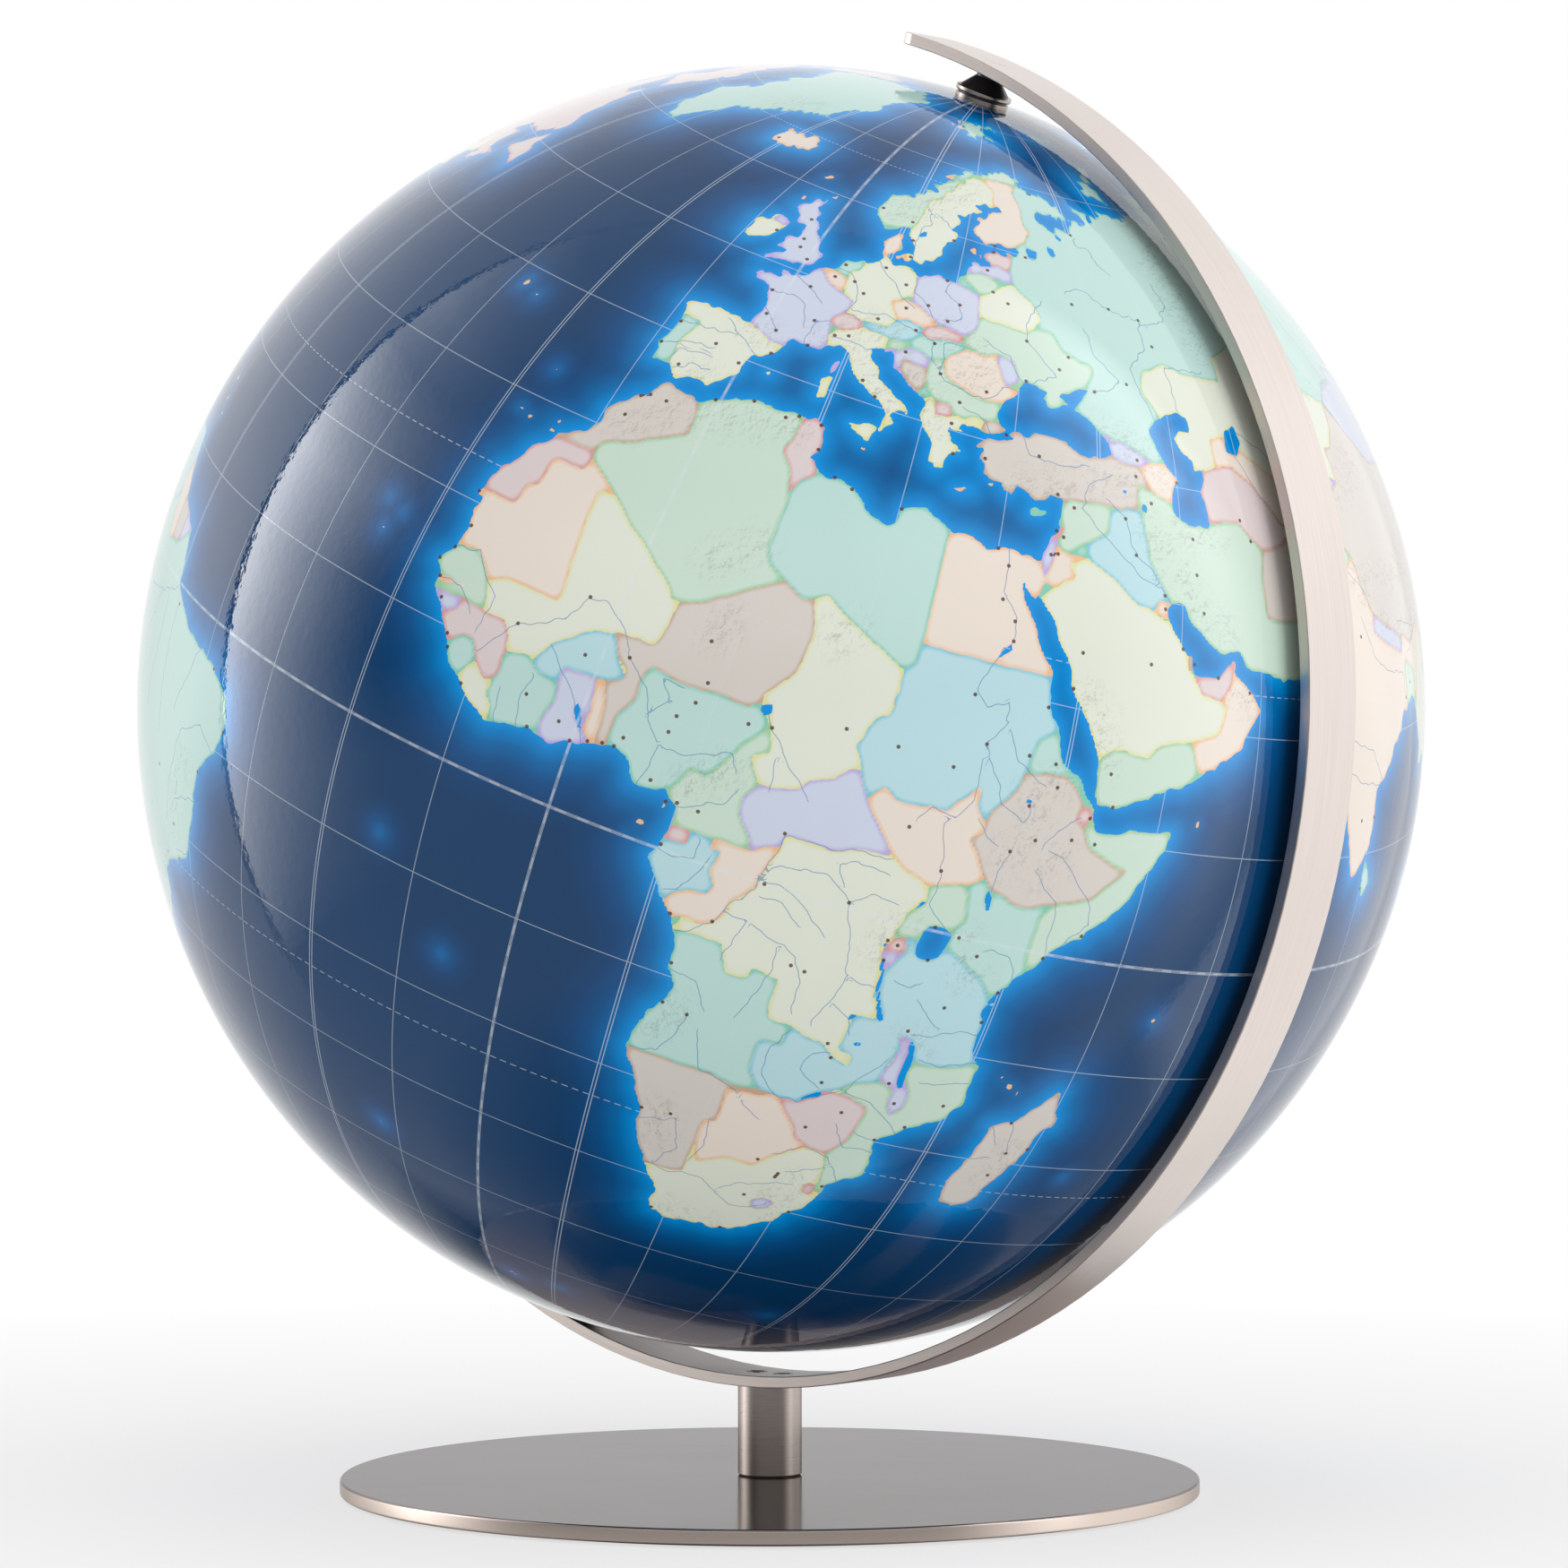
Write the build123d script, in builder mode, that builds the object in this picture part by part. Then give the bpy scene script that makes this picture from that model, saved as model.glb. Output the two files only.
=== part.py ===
from build123d import *
import os
from math import atan2, cos, degrees, radians, sin, sqrt

# Desktop globe: a printed ball turns on a tilted axle, held at both poles by a flat steel arc.
# The arc stands on a short round post, which is bolted to a heavy round base plate.
# Millimetres, +Z up. The origin is the middle of the base's underside.
# The arc lies in the XZ plane and the north pole leans towards +X.

# Ball
ball_diameter = 340.0
map_thickness = 0.4
shell_thickness = 3.0
axis_tilt = 23.5
gore_count = 12
# Angle from the arc's plane, on the belly side, to the first seam of the printed map
first_seam_angle = 3.0
joining_ring_height = 24.0
joining_ring_thickness = 2.5
glue_gap = 0.35

# Arc, a flat bar bent on edge round the ball
bar_width = 20.0
bar_thickness = 3.0
bar_edge_radius = 0.3
pole_gap = 8.0
belly_gap = 3.7
tip_overhang = 25.0
tip_corner_radius = 4.8

# Base and post
pad_diameter = 216.0
pad_thickness = 0.8
base_diameter = 228.0
base_thickness = 4.0
base_edge_radius = 0.7
post_diameter = 17.0
post_height = 24.0
post_foot_chamfer = 0.5

# Screws: thread diameter, countersunk head diameter, length and hexagon socket
post_bolt_size = dict(thread=6.0, head=11.3, length=14.0, socket=4.0)
arc_screw_size = dict(thread=3.0, head=5.6, length=10.0, socket=2.0)
pivot_screw_size = dict(thread=4.0, head=7.6, length=20.0, socket=2.5)
arc_screw_pitch = 9.0
socket_depth_ratio = 0.3
thread_clearance = 0.05
head_clearance = 0.1
head_sink = 0.25
tapping_runout = 2.0

# Axle and the pieces threaded on it, the same at both poles
axle_diameter = 8.0
running_clearance = 0.05
end_play = 0.05
sleeve_wall = 1.0
barrel_wall = 1.0
barrel_length = 16.0
flange_diameter = 14.0
flange_thickness = 0.9
washer_diameter = 13.0
washer_thickness = 0.5
collar_diameter = 14.8
collar_thickness = 1.4
collar_edge_radius = 0.45
cone_diameter = 13.0
cone_height = 3.4
neck_diameter = 6.6
seat_washer_diameter = 22.0
seat_washer_edge = 1.5
clamp_nut_size = 19.0
clamp_nut_height = 4.0
assembly_gap = 0.02

# Sizes that follow from the ones above
ball_radius = ball_diameter / 2
map_inner_radius = ball_radius - map_thickness
shell_radius = map_inner_radius - glue_gap
shell_inner_radius = shell_radius - shell_thickness
# The arc's centre lies off the ball's, so that the bar clears the poles by more than the belly
pivot_reach = ball_radius + pole_gap
belly_reach = ball_radius + belly_gap
arc_inner_radius = (pivot_reach**2 + belly_reach**2) / (2 * belly_reach)
arc_outer_radius = arc_inner_radius + bar_thickness
arc_offset = arc_inner_radius - belly_reach
base_top = pad_thickness + base_thickness
arc_centre = Vector(0, 0, base_top + post_height + arc_outer_radius)
axis_direction = Vector(sin(radians(axis_tilt)), 0, cos(radians(axis_tilt)))
belly_direction = Vector(cos(radians(axis_tilt)), 0, -sin(radians(axis_tilt)))
ball_centre = arc_centre + belly_direction * arc_offset
axle_radius = axle_diameter / 2
sleeve_bore = axle_radius + running_clearance
barrel_bore = sleeve_bore + sleeve_wall + assembly_gap
barrel_radius = barrel_bore + barrel_wall
pole_hole = barrel_radius + assembly_gap
flange_top = ball_radius + flange_thickness
collar_bottom = flange_top + washer_thickness + end_play
collar_top = collar_bottom + collar_thickness
seat_level = sqrt(shell_inner_radius**2 - (seat_washer_diameter / 2) ** 2) - seat_washer_edge
pivot_head_level = sqrt(arc_outer_radius**2 - arc_offset**2) - head_sink
barrel_bottom = flange_top - barrel_length
spare = 2 * ball_diameter

# Planes: the arc's own, and one for each pole with its Y along the axle, away from the ball's middle
arc_plane = Plane(origin=arc_centre, x_dir=(1, 0, 0), z_dir=(0, -1, 0))
ball_axis = Axis(ball_centre, axis_direction)
pole_directions = {"north": axis_direction, "south": -axis_direction}

os.makedirs("parts", exist_ok=True)


def keep(piece, name):
    """Label a finished piece and write it to its own file."""
    piece.part.label = name
    export_step(piece.part, f"parts/{name}.step")


def axle_section(direction, outward=belly_direction):
    """Plane through the ball's middle with X outwards, to the belly or a seam, and Y along the axle."""
    return Plane(origin=ball_centre, x_dir=outward, z_dir=outward.cross(direction))


def across_axle(direction, reach):
    """Plane square to the axle at a distance from the ball's middle, facing outwards."""
    return Plane(origin=ball_centre + direction * reach, x_dir=belly_direction, z_dir=direction)


def ring_section(inner, outer, low, high, mode=Mode.ADD):
    """Rectangle of a turned ring: from inner to outer radius, and from low to high along the axle."""
    with Locations(((inner + outer) / 2, (low + high) / 2)):
        Rectangle(outer - inner, high - low, mode=mode)


def countersunk_screws(size, head_planes):
    """Hexagon socket screws with a flat head on each plane, the shank running down from it."""
    head = size["head"] / 2
    thread = size["thread"] / 2
    with BuildPart() as screws:
        for head_plane in head_planes:
            section_plane = Plane(origin=head_plane.origin, x_dir=head_plane.x_dir, z_dir=-head_plane.y_dir)
            with BuildSketch(section_plane):
                with BuildLine():
                    Polyline(
                        (0, 0),
                        (head, 0),
                        (thread, thread - head),
                        (thread, -size["length"]),
                        (0, -size["length"]),
                        close=True,
                    )
                make_face()
            revolve(axis=Axis(head_plane.origin, head_plane.z_dir))
            with BuildSketch(head_plane):
                RegularPolygon(size["socket"] / 2, 6, major_radius=False)
            extrude(amount=-size["head"] * socket_depth_ratio, mode=Mode.SUBTRACT)
    return screws


def screw_holes(size, head_planes):
    """Clearance holes for such screws, each with a seat for the head, open to the face above it."""
    with Locations(*head_planes):
        CounterSinkHole(
            radius=size["thread"] / 2 + head_clearance,
            counter_sink_radius=size["head"] / 2 + head_clearance,
            depth=size["length"],
            counter_sink_angle=90,
        )


def tapped_holes(size, face_planes, depth):
    """Blind holes that take the screws' threads, down from each face."""
    with Locations(*face_planes):
        Hole(radius=size["thread"] / 2 + thread_clearance, depth=depth + tapping_runout)


# Where each screw's head lies
post_bolt_plane = Plane(origin=(0, 0, pad_thickness + head_sink), x_dir=(1, 0, 0), z_dir=(0, 0, -1))
arc_screw_level = arc_centre.Z - sqrt(arc_inner_radius**2 - (arc_screw_pitch / 2) ** 2) - head_sink
arc_screw_planes = [
    Plane(origin=(side * arc_screw_pitch / 2, 0, arc_screw_level)) for side in (-1, 1)
]
pivot_screw_planes = {
    pole: across_axle(direction, pivot_head_level) for pole, direction in pole_directions.items()
}

# Base pad, a thin disc of foam glued under the plate
with BuildPart() as base_pad:
    with BuildSketch():
        Circle(pad_diameter / 2)
    extrude(amount=pad_thickness)
keep(base_pad, "base_pad")

# Base plate, a turned disc with softened edges
with BuildPart() as base_plate:
    with BuildSketch(Plane.XY.offset(pad_thickness)):
        Circle(base_diameter / 2)
    extrude(amount=base_thickness)
    fillet(base_plate.edges(), radius=base_edge_radius)
    screw_holes(post_bolt_size, [post_bolt_plane])
keep(base_plate, "base_plate")

# Post, turned from round bar, with its top cut to the arc's curve
with BuildPart() as post:
    with BuildSketch(Plane.XY.offset(base_top)):
        Circle(post_diameter / 2)
    extrude(amount=post_height + bar_thickness)
    chamfer(post.edges().sort_by(Axis.Z)[0], length=post_foot_chamfer)
    with BuildSketch(arc_plane):
        Circle(arc_outer_radius)
    extrude(amount=post_diameter, both=True, mode=Mode.SUBTRACT)
    post_foot = Plane(origin=(0, 0, base_top), x_dir=(1, 0, 0), z_dir=(0, 0, -1))
    tapped_holes(post_bolt_size, [post_foot], post_bolt_size["length"] - base_thickness)
    tapped_holes(arc_screw_size, arc_screw_planes, arc_screw_size["length"])
keep(post, "post")

keep(countersunk_screws(post_bolt_size, [post_bolt_plane]), "post_bolt")

# Arc, a flat bar from beyond the north pivot, down past the belly and under the ball to the south
with BuildPart() as meridian_arc:
    half_span = degrees(atan2(pivot_reach, arc_offset) + tip_overhang / arc_inner_radius)
    with BuildSketch(arc_plane):
        Circle(arc_outer_radius)
        Circle(arc_inner_radius, mode=Mode.SUBTRACT)
        # The open side of the C, between the two tips
        with BuildLine():
            tip_turns = (half_span, 180, -half_span)
            open_side = [Vector(spare, 0).rotate(Axis.Z, turn - axis_tilt) for turn in tip_turns]
            Polyline((0, 0), *open_side, close=True)
        make_face(mode=Mode.SUBTRACT)
    extrude(amount=bar_width / 2, both=True)
    tip_edges = meridian_arc.edges().filter_by(GeomType.LINE)
    corner_edges = [edge for edge in tip_edges if abs(edge.length - bar_thickness) < bar_edge_radius]
    fillet(corner_edges, radius=tip_corner_radius)
    screw_holes(arc_screw_size, arc_screw_planes)
    screw_holes(pivot_screw_size, pivot_screw_planes.values())
    round_edges = meridian_arc.edges().filter_by(GeomType.CIRCLE)
    long_edges = [edge for edge in round_edges if edge.radius > ball_radius]
    fillet(long_edges, radius=bar_edge_radius)
keep(meridian_arc, "meridian_arc")

keep(countersunk_screws(arc_screw_size, arc_screw_planes), "arc_screws")

# Axle, a fixed rod through the ball with a tapped end at each pole
with BuildPart() as axle_rod:
    with BuildSketch(across_axle(axis_direction, 0)):
        Circle(axle_radius)
    extrude(amount=collar_bottom, both=True)
    axle_ends = [across_axle(direction, collar_bottom) for direction in pole_directions.values()]
    thread_reach = pivot_screw_size["length"] - (pivot_head_level - collar_bottom)
    tapped_holes(pivot_screw_size, axle_ends, thread_reach)
keep(axle_rod, "axle_rod")

for pole, direction in pole_directions.items():
    turning_plane = axle_section(direction)
    screw_bore = pivot_screw_size["thread"] / 2 + head_clearance

    keep(countersunk_screws(pivot_screw_size, [pivot_screw_planes[pole]]), f"{pole}_pivot_screw")

    # Cone spacer between the collar and the arc, its neck cut to the bar's curve
    with BuildPart() as cone_spacer:
        with BuildSketch(turning_plane):
            with BuildLine():
                Polyline(
                    (screw_bore, collar_top),
                    (cone_diameter / 2, collar_top),
                    (neck_diameter / 2, collar_top + cone_height),
                    (neck_diameter / 2, pivot_reach + bar_thickness),
                    (screw_bore, pivot_reach + bar_thickness),
                    close=True,
                )
            make_face()
        revolve(axis=ball_axis)
        with BuildSketch(arc_plane):
            Circle(arc_inner_radius)
        extrude(amount=cone_diameter, both=True, mode=Mode.INTERSECT)
    keep(cone_spacer, f"{pole}_cone_spacer")

    # Collar that the axle is clamped against
    with BuildPart() as collar:
        with BuildSketch(turning_plane):
            ring_section(screw_bore, collar_diameter / 2, collar_bottom, collar_top)
        revolve(axis=ball_axis)
        rim_edges = collar.edges().filter_by(GeomType.CIRCLE).sort_by(SortBy.RADIUS)[-2:]
        fillet(rim_edges, radius=collar_edge_radius)
    keep(collar, f"{pole}_collar")

    # Slip washer on which the ball turns against the collar
    with BuildPart() as thrust_washer:
        with BuildSketch(turning_plane):
            ring_section(sleeve_bore, washer_diameter / 2, flange_top, flange_top + washer_thickness)
        revolve(axis=ball_axis)
    keep(thrust_washer, f"{pole}_thrust_washer")

    # Flanged bush through the shell, its flange seated on the printed map
    with BuildPart() as pole_bush:
        with BuildSketch(turning_plane):
            ring_section(barrel_bore, flange_diameter / 2, seat_level, flange_top)
            Circle(ball_radius, mode=Mode.SUBTRACT)
            ring_section(barrel_bore, barrel_radius, barrel_bottom, flange_top)
        revolve(axis=ball_axis)
    keep(pole_bush, f"{pole}_pole_bush")

    # Bearing sleeve inside the bush
    with BuildPart() as bearing_sleeve:
        with BuildSketch(turning_plane):
            ring_section(sleeve_bore, sleeve_bore + sleeve_wall, barrel_bottom, flange_top)
        revolve(axis=ball_axis)
    keep(bearing_sleeve, f"{pole}_bearing_sleeve")

    # Washer that follows the shell's inside, so that the nut seats flat
    with BuildPart() as seat_washer:
        with BuildSketch(turning_plane):
            ring_section(pole_hole, seat_washer_diameter / 2, seat_level, ball_radius)
            Circle(shell_inner_radius, mode=Mode.INTERSECT)
        revolve(axis=ball_axis)
    keep(seat_washer, f"{pole}_seat_washer")

    # Hexagon nut that clamps the bush to the shell
    with BuildPart() as clamp_nut:
        with BuildSketch(across_axle(direction, seat_level)):
            RegularPolygon(clamp_nut_size / 2, 6, major_radius=False)
            Circle(pole_hole, mode=Mode.SUBTRACT)
        extrude(amount=-clamp_nut_height)
    keep(clamp_nut, f"{pole}_clamp_nut")

    # Half of the ball's shell, from the equator to the pole's hole
    with BuildPart() as hemisphere:
        with BuildSketch(turning_plane):
            Circle(shell_radius)
            Circle(shell_inner_radius, mode=Mode.SUBTRACT)
            ring_section(pole_hole, ball_radius, 0, ball_radius, mode=Mode.INTERSECT)
        revolve(axis=ball_axis)
    keep(hemisphere, f"{pole}_hemisphere")

# Joining ring, glued inside across the seam of the two halves
with BuildPart() as equator_ring:
    ring_radius = shell_inner_radius - glue_gap
    with BuildSketch(axle_section(axis_direction)):
        Circle(ring_radius)
        Circle(ring_radius - joining_ring_thickness, mode=Mode.SUBTRACT)
        ring_section(0, ball_radius, -joining_ring_height / 2, joining_ring_height / 2, mode=Mode.INTERSECT)
    revolve(axis=ball_axis)
keep(equator_ring, "equator_ring")

# Printed map, pasted on as equal gores that run from pole to pole
gore_angle = 360.0 / gore_count
for gore_number in range(gore_count):
    seam_angle = first_seam_angle + gore_number * gore_angle
    seam_direction = belly_direction.rotate(Axis((0, 0, 0), axis_direction), seam_angle)
    with BuildPart() as map_gore:
        with BuildSketch(axle_section(axis_direction, seam_direction)):
            Circle(ball_radius)
            Circle(map_inner_radius, mode=Mode.SUBTRACT)
            ring_section(pole_hole, spare, -ball_radius, ball_radius, mode=Mode.INTERSECT)
        revolve(axis=ball_axis, revolution_arc=gore_angle)
    keep(map_gore, f"map_gore_{gore_number + 1:02d}")
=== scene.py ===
"""Desktop globe on a tilted axle: a printed ball in a flat steel bar, on a post and a round steel base."""
import math

import bpy
import numpy as np
from mathutils import Matrix, Vector


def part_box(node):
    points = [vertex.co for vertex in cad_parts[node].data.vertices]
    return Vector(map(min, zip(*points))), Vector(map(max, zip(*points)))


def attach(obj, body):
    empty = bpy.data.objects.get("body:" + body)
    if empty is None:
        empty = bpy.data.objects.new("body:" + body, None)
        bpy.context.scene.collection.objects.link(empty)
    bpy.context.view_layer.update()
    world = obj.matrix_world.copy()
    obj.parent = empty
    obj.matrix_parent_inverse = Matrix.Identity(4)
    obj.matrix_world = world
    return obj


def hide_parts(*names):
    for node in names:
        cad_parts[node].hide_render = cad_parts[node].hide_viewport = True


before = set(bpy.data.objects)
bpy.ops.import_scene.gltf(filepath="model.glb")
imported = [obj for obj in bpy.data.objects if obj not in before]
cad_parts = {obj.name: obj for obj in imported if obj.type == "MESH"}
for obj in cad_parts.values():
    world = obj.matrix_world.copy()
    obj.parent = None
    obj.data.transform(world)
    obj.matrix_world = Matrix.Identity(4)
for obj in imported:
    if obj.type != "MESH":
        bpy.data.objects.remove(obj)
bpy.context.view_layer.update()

# Base plate: a round plate of stainless steel, 228 mm across and 4 mm thick, faced and then brushed in
# straight lines, with its edges softened. It carries the post, which is bolted on from below.


def srgb(code):
    """Linear RGBA of an sRGB hex colour."""
    channels = np.array([int(code[i:i + 2], 16) / 255 for i in (1, 3, 5)])
    linear = np.where(channels <= 0.04045, channels / 12.92, ((channels + 0.055) / 1.055) ** 2.4)
    return (*linear, 1.0)


def per_metre(millimetres):
    """Texture scale at which one cell of a pattern is that many millimetres wide."""
    return 1000.0 / millimetres


def fill(tree, sockets, values):
    """Fills sockets, by number or name: a value that is a socket itself is linked, any other is set."""
    for key, value in values.items():
        if isinstance(value, bpy.types.NodeSocket):
            tree.links.new(value, sockets[key])
        else:
            sockets[key].default_value = value


def add(tree, kind, *inputs, out=0, named=None, **settings):
    """Adds a shader node and gives its output out. Inputs fill its sockets in order, named fills sockets by
    name, and settings are the node's own. MapRange takes a value, the two ends it is read between and the
    two results."""
    made = tree.nodes.new("ShaderNode" + kind)
    for name, value in settings.items():
        setattr(made, name, value)
    fill(tree, made.inputs, {**dict(enumerate(inputs)), **(named or {})})
    return made.outputs[out] if made.outputs else None


def new_material(name):
    """A material, its tree, and the inputs of its Principled surface, which is joined to the output."""
    material = bpy.data.materials.new(name)
    material.use_nodes = True
    tree = material.node_tree
    tree.nodes.clear()
    surface = add(tree, "BsdfPrincipled")
    add(tree, "OutputMaterial", surface)
    return material, tree, surface.node.inputs


def brushed_metal(name, colour, line_width, line_length, roughness, along="X", heading=0.0, centre=None):
    """Metal brushed with a fine belt: streaks line_width by line_length mm vary gloss and tone, and clouds
    of 45 mm vary the gloss a little. Real brush lines are about 0.1 mm wide, too fine to show, so they are
    drawn wider. They run along the named axes, turned by heading degrees about Z, or, where a centre is
    given, round it in the XZ plane."""
    material, tree, finish = new_material(name)
    place = add(tree, "TexCoord", out="Object")
    if centre is not None:
        place = add(tree, "VectorMath", place, centre, operation="SUBTRACT")
        axes = add(tree, "SeparateXYZ", place).node.outputs
        turn = add(tree, "Math", axes["Z"], axes["X"], operation="ARCTAN2")
        flat = add(tree, "VectorMath", place, (1, 0, 1), operation="MULTIPLY")
        reach = add(tree, "VectorMath", flat, operation="LENGTH", out="Value")
        run = add(tree, "Math", turn, centre[2], operation="MULTIPLY")
        place = add(tree, "CombineXYZ", run, axes["Y"], reach)
    streak = {
        "Rotation": (0.0, 0.0, math.radians(heading)),
        "Scale": [(line_length if axis in along else line_width) / 1000 for axis in "XYZ"],
    }
    streaks = add(tree, "Mapping", place, vector_type="TEXTURE", named=streak)
    grain = add(tree, "TexNoise", streaks, named={"Scale": 1.0, "Detail": 3.0, "Roughness": 0.6})
    cloud = add(tree, "TexNoise", place, named={"Scale": per_metre(45), "Detail": 2.0})
    tone = add(tree, "MapRange", grain, 0.25, 0.75, 0.90, 1.06)
    tint = add(tree, "VectorMath", srgb(colour)[:3], operation="SCALE", named={"Scale": tone})
    gloss = add(tree, "MapRange", grain, 0.2, 0.8, roughness - 0.05, roughness + 0.06)
    patch = add(tree, "MapRange", cloud, 0.3, 0.7, -0.02, 0.02)
    rough = add(tree, "Math", gloss, patch, operation="ADD")
    bump = add(tree, "Bump", named={"Strength": 0.06, "Distance": 0.0002, "Height": grain})
    fill(tree, finish, {"Base Color": tint, "Roughness": rough, "Normal": bump, "Metallic": 1.0})
    return material, tree, finish


def dress(material, *nodes):
    """Puts a material on carried-over nodes."""
    for name in nodes:
        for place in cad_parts[name].material_slots:
            place.material = material


def turned(name, profile, segments):
    """A turned ring: a closed profile of radius and height in metres, clockwise, swept round the Z axis."""
    spin = np.arange(segments) * math.tau / segments
    radius, height = np.array(profile).T
    level = np.broadcast_to(height, (segments, len(height)))
    rings = np.stack([np.outer(np.cos(spin), radius), np.outer(np.sin(spin), radius), level], axis=-1)
    here = np.arange(level.size).reshape(level.shape)
    beside = np.roll(here, -1, axis=0)
    faces = np.stack([here, np.roll(here, -1, axis=1), np.roll(beside, -1, axis=1), beside], axis=-1)
    mesh = bpy.data.meshes.new(name)
    mesh.from_pydata(rings.reshape(-1, 3).tolist(), [], faces.reshape(-1, 4).tolist())
    mesh.shade_smooth()
    mesh.set_sharp_from_angle(angle=math.radians(30))
    return mesh


plate_low, plate_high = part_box("base_plate")
plate_foot, plate_top = plate_low[2], plate_high[2]
plate_radius = (plate_high[0] - plate_low[0]) / 2
plate_edge = 0.0007
bolt_hole = 0.0031
bolt_seat = 0.00575
bolt_sink = 0.00025
flat_end = plate_radius - plate_edge
bend = np.radians(np.linspace(0, 90, 9))
edge_out, edge_down = plate_edge * np.sin(bend), plate_edge * (1 - np.cos(bend))
top_bend = np.column_stack([flat_end + edge_out, plate_top - edge_down])
low_bend = np.column_stack([flat_end + edge_out, plate_foot + edge_down])[::-1]
seat_top = plate_foot + bolt_sink + bolt_seat - bolt_hole
plate_profile = [
    (bolt_hole, plate_top), (flat_end - plate_edge / 4, plate_top), *top_bend,
    *low_bend, (flat_end - plate_edge / 4, plate_foot),
    (bolt_seat, plate_foot), (bolt_seat, plate_foot + bolt_sink), (bolt_hole, seat_top),
]
plate = bpy.data.objects.new("turned_base_plate", turned("turned_base_plate", plate_profile, 360))
bpy.context.scene.collection.objects.link(plate)
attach(plate, "stand")
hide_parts("base_plate")
# The top is brushed finely enough to mirror the post; the rim is paler and rougher.
plate_steel, tree, finish = brushed_metal(
    "brushed_stainless_plate", "#9E9492", line_width=0.5, line_length=60, roughness=0.12, heading=40.3)
top_tint, top_gloss = (finish[name].links[0].from_socket for name in ("Base Color", "Roughness"))
facing_up = add(tree, "SeparateXYZ", add(tree, "NewGeometry", out="Normal"), out="Z")
on_rim = add(tree, "MapRange", facing_up, 0.5, 0.2, 0.0, 1.0)
plate_tint = add(tree, "MixRGB", on_rim, top_tint, srgb("#CBBDB3"))
plate_gloss = add(tree, "MapRange", on_rim, 0.0, 1.0, top_gloss, 0.32)
edge_tint = (0.5, 0.5, 0.5, 1.0)
fill(tree, finish, {"Base Color": plate_tint, "Roughness": plate_gloss, "Specular Tint": edge_tint})
plate.data.materials.append(plate_steel)

# Base pad: a disc of black foam rubber glued under the plate, so that it does not scratch the table.
# Closed-cell foam is matt, with pores of about half a millimetre, drawn a little wider so that they show.
foam, tree, finish = new_material("black_foam_rubber")
pores = add(tree, "TexVoronoi", add(tree, "TexCoord", out="Object"), named={"Scale": per_metre(0.8)})
shade = add(tree, "ValToRGB", pores)
for stop, code in zip(shade.node.color_ramp.elements, ("#101010", "#2A2A29")):
    stop.color = srgb(code)
dent = add(tree, "Bump", named={"Strength": 0.4, "Distance": 0.0003, "Height": pores})
fill(tree, finish, {"Base Color": shade, "Normal": dent, "Roughness": 0.9})
dress(foam, "base_pad")

# Post: a short round bar of stainless steel, turned with a fine groove at its foot and hollowed at its top
# to the curve of the bar it carries. The tool leaves fine rings round it.
post_steel, tree, finish = brushed_metal(
    "turned_stainless_post", "#B3A9A3", line_width=0.35, line_length=40, roughness=0.30, along="XY")
fill(tree, finish, {"Specular Tint": (0.45, 0.45, 0.45, 1.0)})
dress(post_steel, "post")

# Meridian arc: flat stainless bar, 20 x 3 mm, rolled to a curve round the ball and screwed to the post. It
# is brushed along its length. Its inner face, which faces the ball, is painted darker: painted shade and a
# painted reflection of the dark ball.
arc_centre = (0.0, 0.0, 0.209853)
bar_steel, tree, finish = brushed_metal(
    "brushed_stainless_bar", "#D0C6C0", line_width=0.5, line_length=60, roughness=0.32, centre=arc_centre)
outwards = add(tree, "VectorMath", add(tree, "TexCoord", out="Object"), arc_centre, operation="SUBTRACT")
facing = add(tree, "NewGeometry", out="Normal")
facing_out = add(tree, "VectorMath", outwards, facing, operation="DOT_PRODUCT", out="Value")
# Painted shade: the inner face is painted darker, standing in for shade and the dark ball mirrored in it.
painted_shade_inside = add(tree, "MapRange", facing_out, -0.09, -0.14, 0.0, 1.0)
bar_tint_with_painted_shade = add(tree, "MixRGB", painted_shade_inside, finish["Base Color"].links[0].from_socket, srgb("#776F6A"))
fill(tree, finish, {"Base Color": bar_tint_with_painted_shade})
dress(bar_steel, "meridian_arc")

# Pivot covers: thin stainless discs pressed in over the heads of the pivot screws, flush with the bar's
# outer face and brushed along with it.


def points_of(node):
    """Vertices of a carried-over node at rest, in metres, one row each."""
    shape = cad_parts[node]
    place = np.array(shape.matrix_world)
    found = np.empty(len(shape.data.vertices) * 3)
    shape.data.vertices.foreach_get("co", found)
    return found.reshape(-1, 3) @ place[:3, :3].T + place[:3, 3]


def from_arc(points):
    """Distance of points from the arc's centre in the XZ plane."""
    return np.hypot(points[:, 0] - arc_centre[0], points[:, 2] - arc_centre[2])


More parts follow.
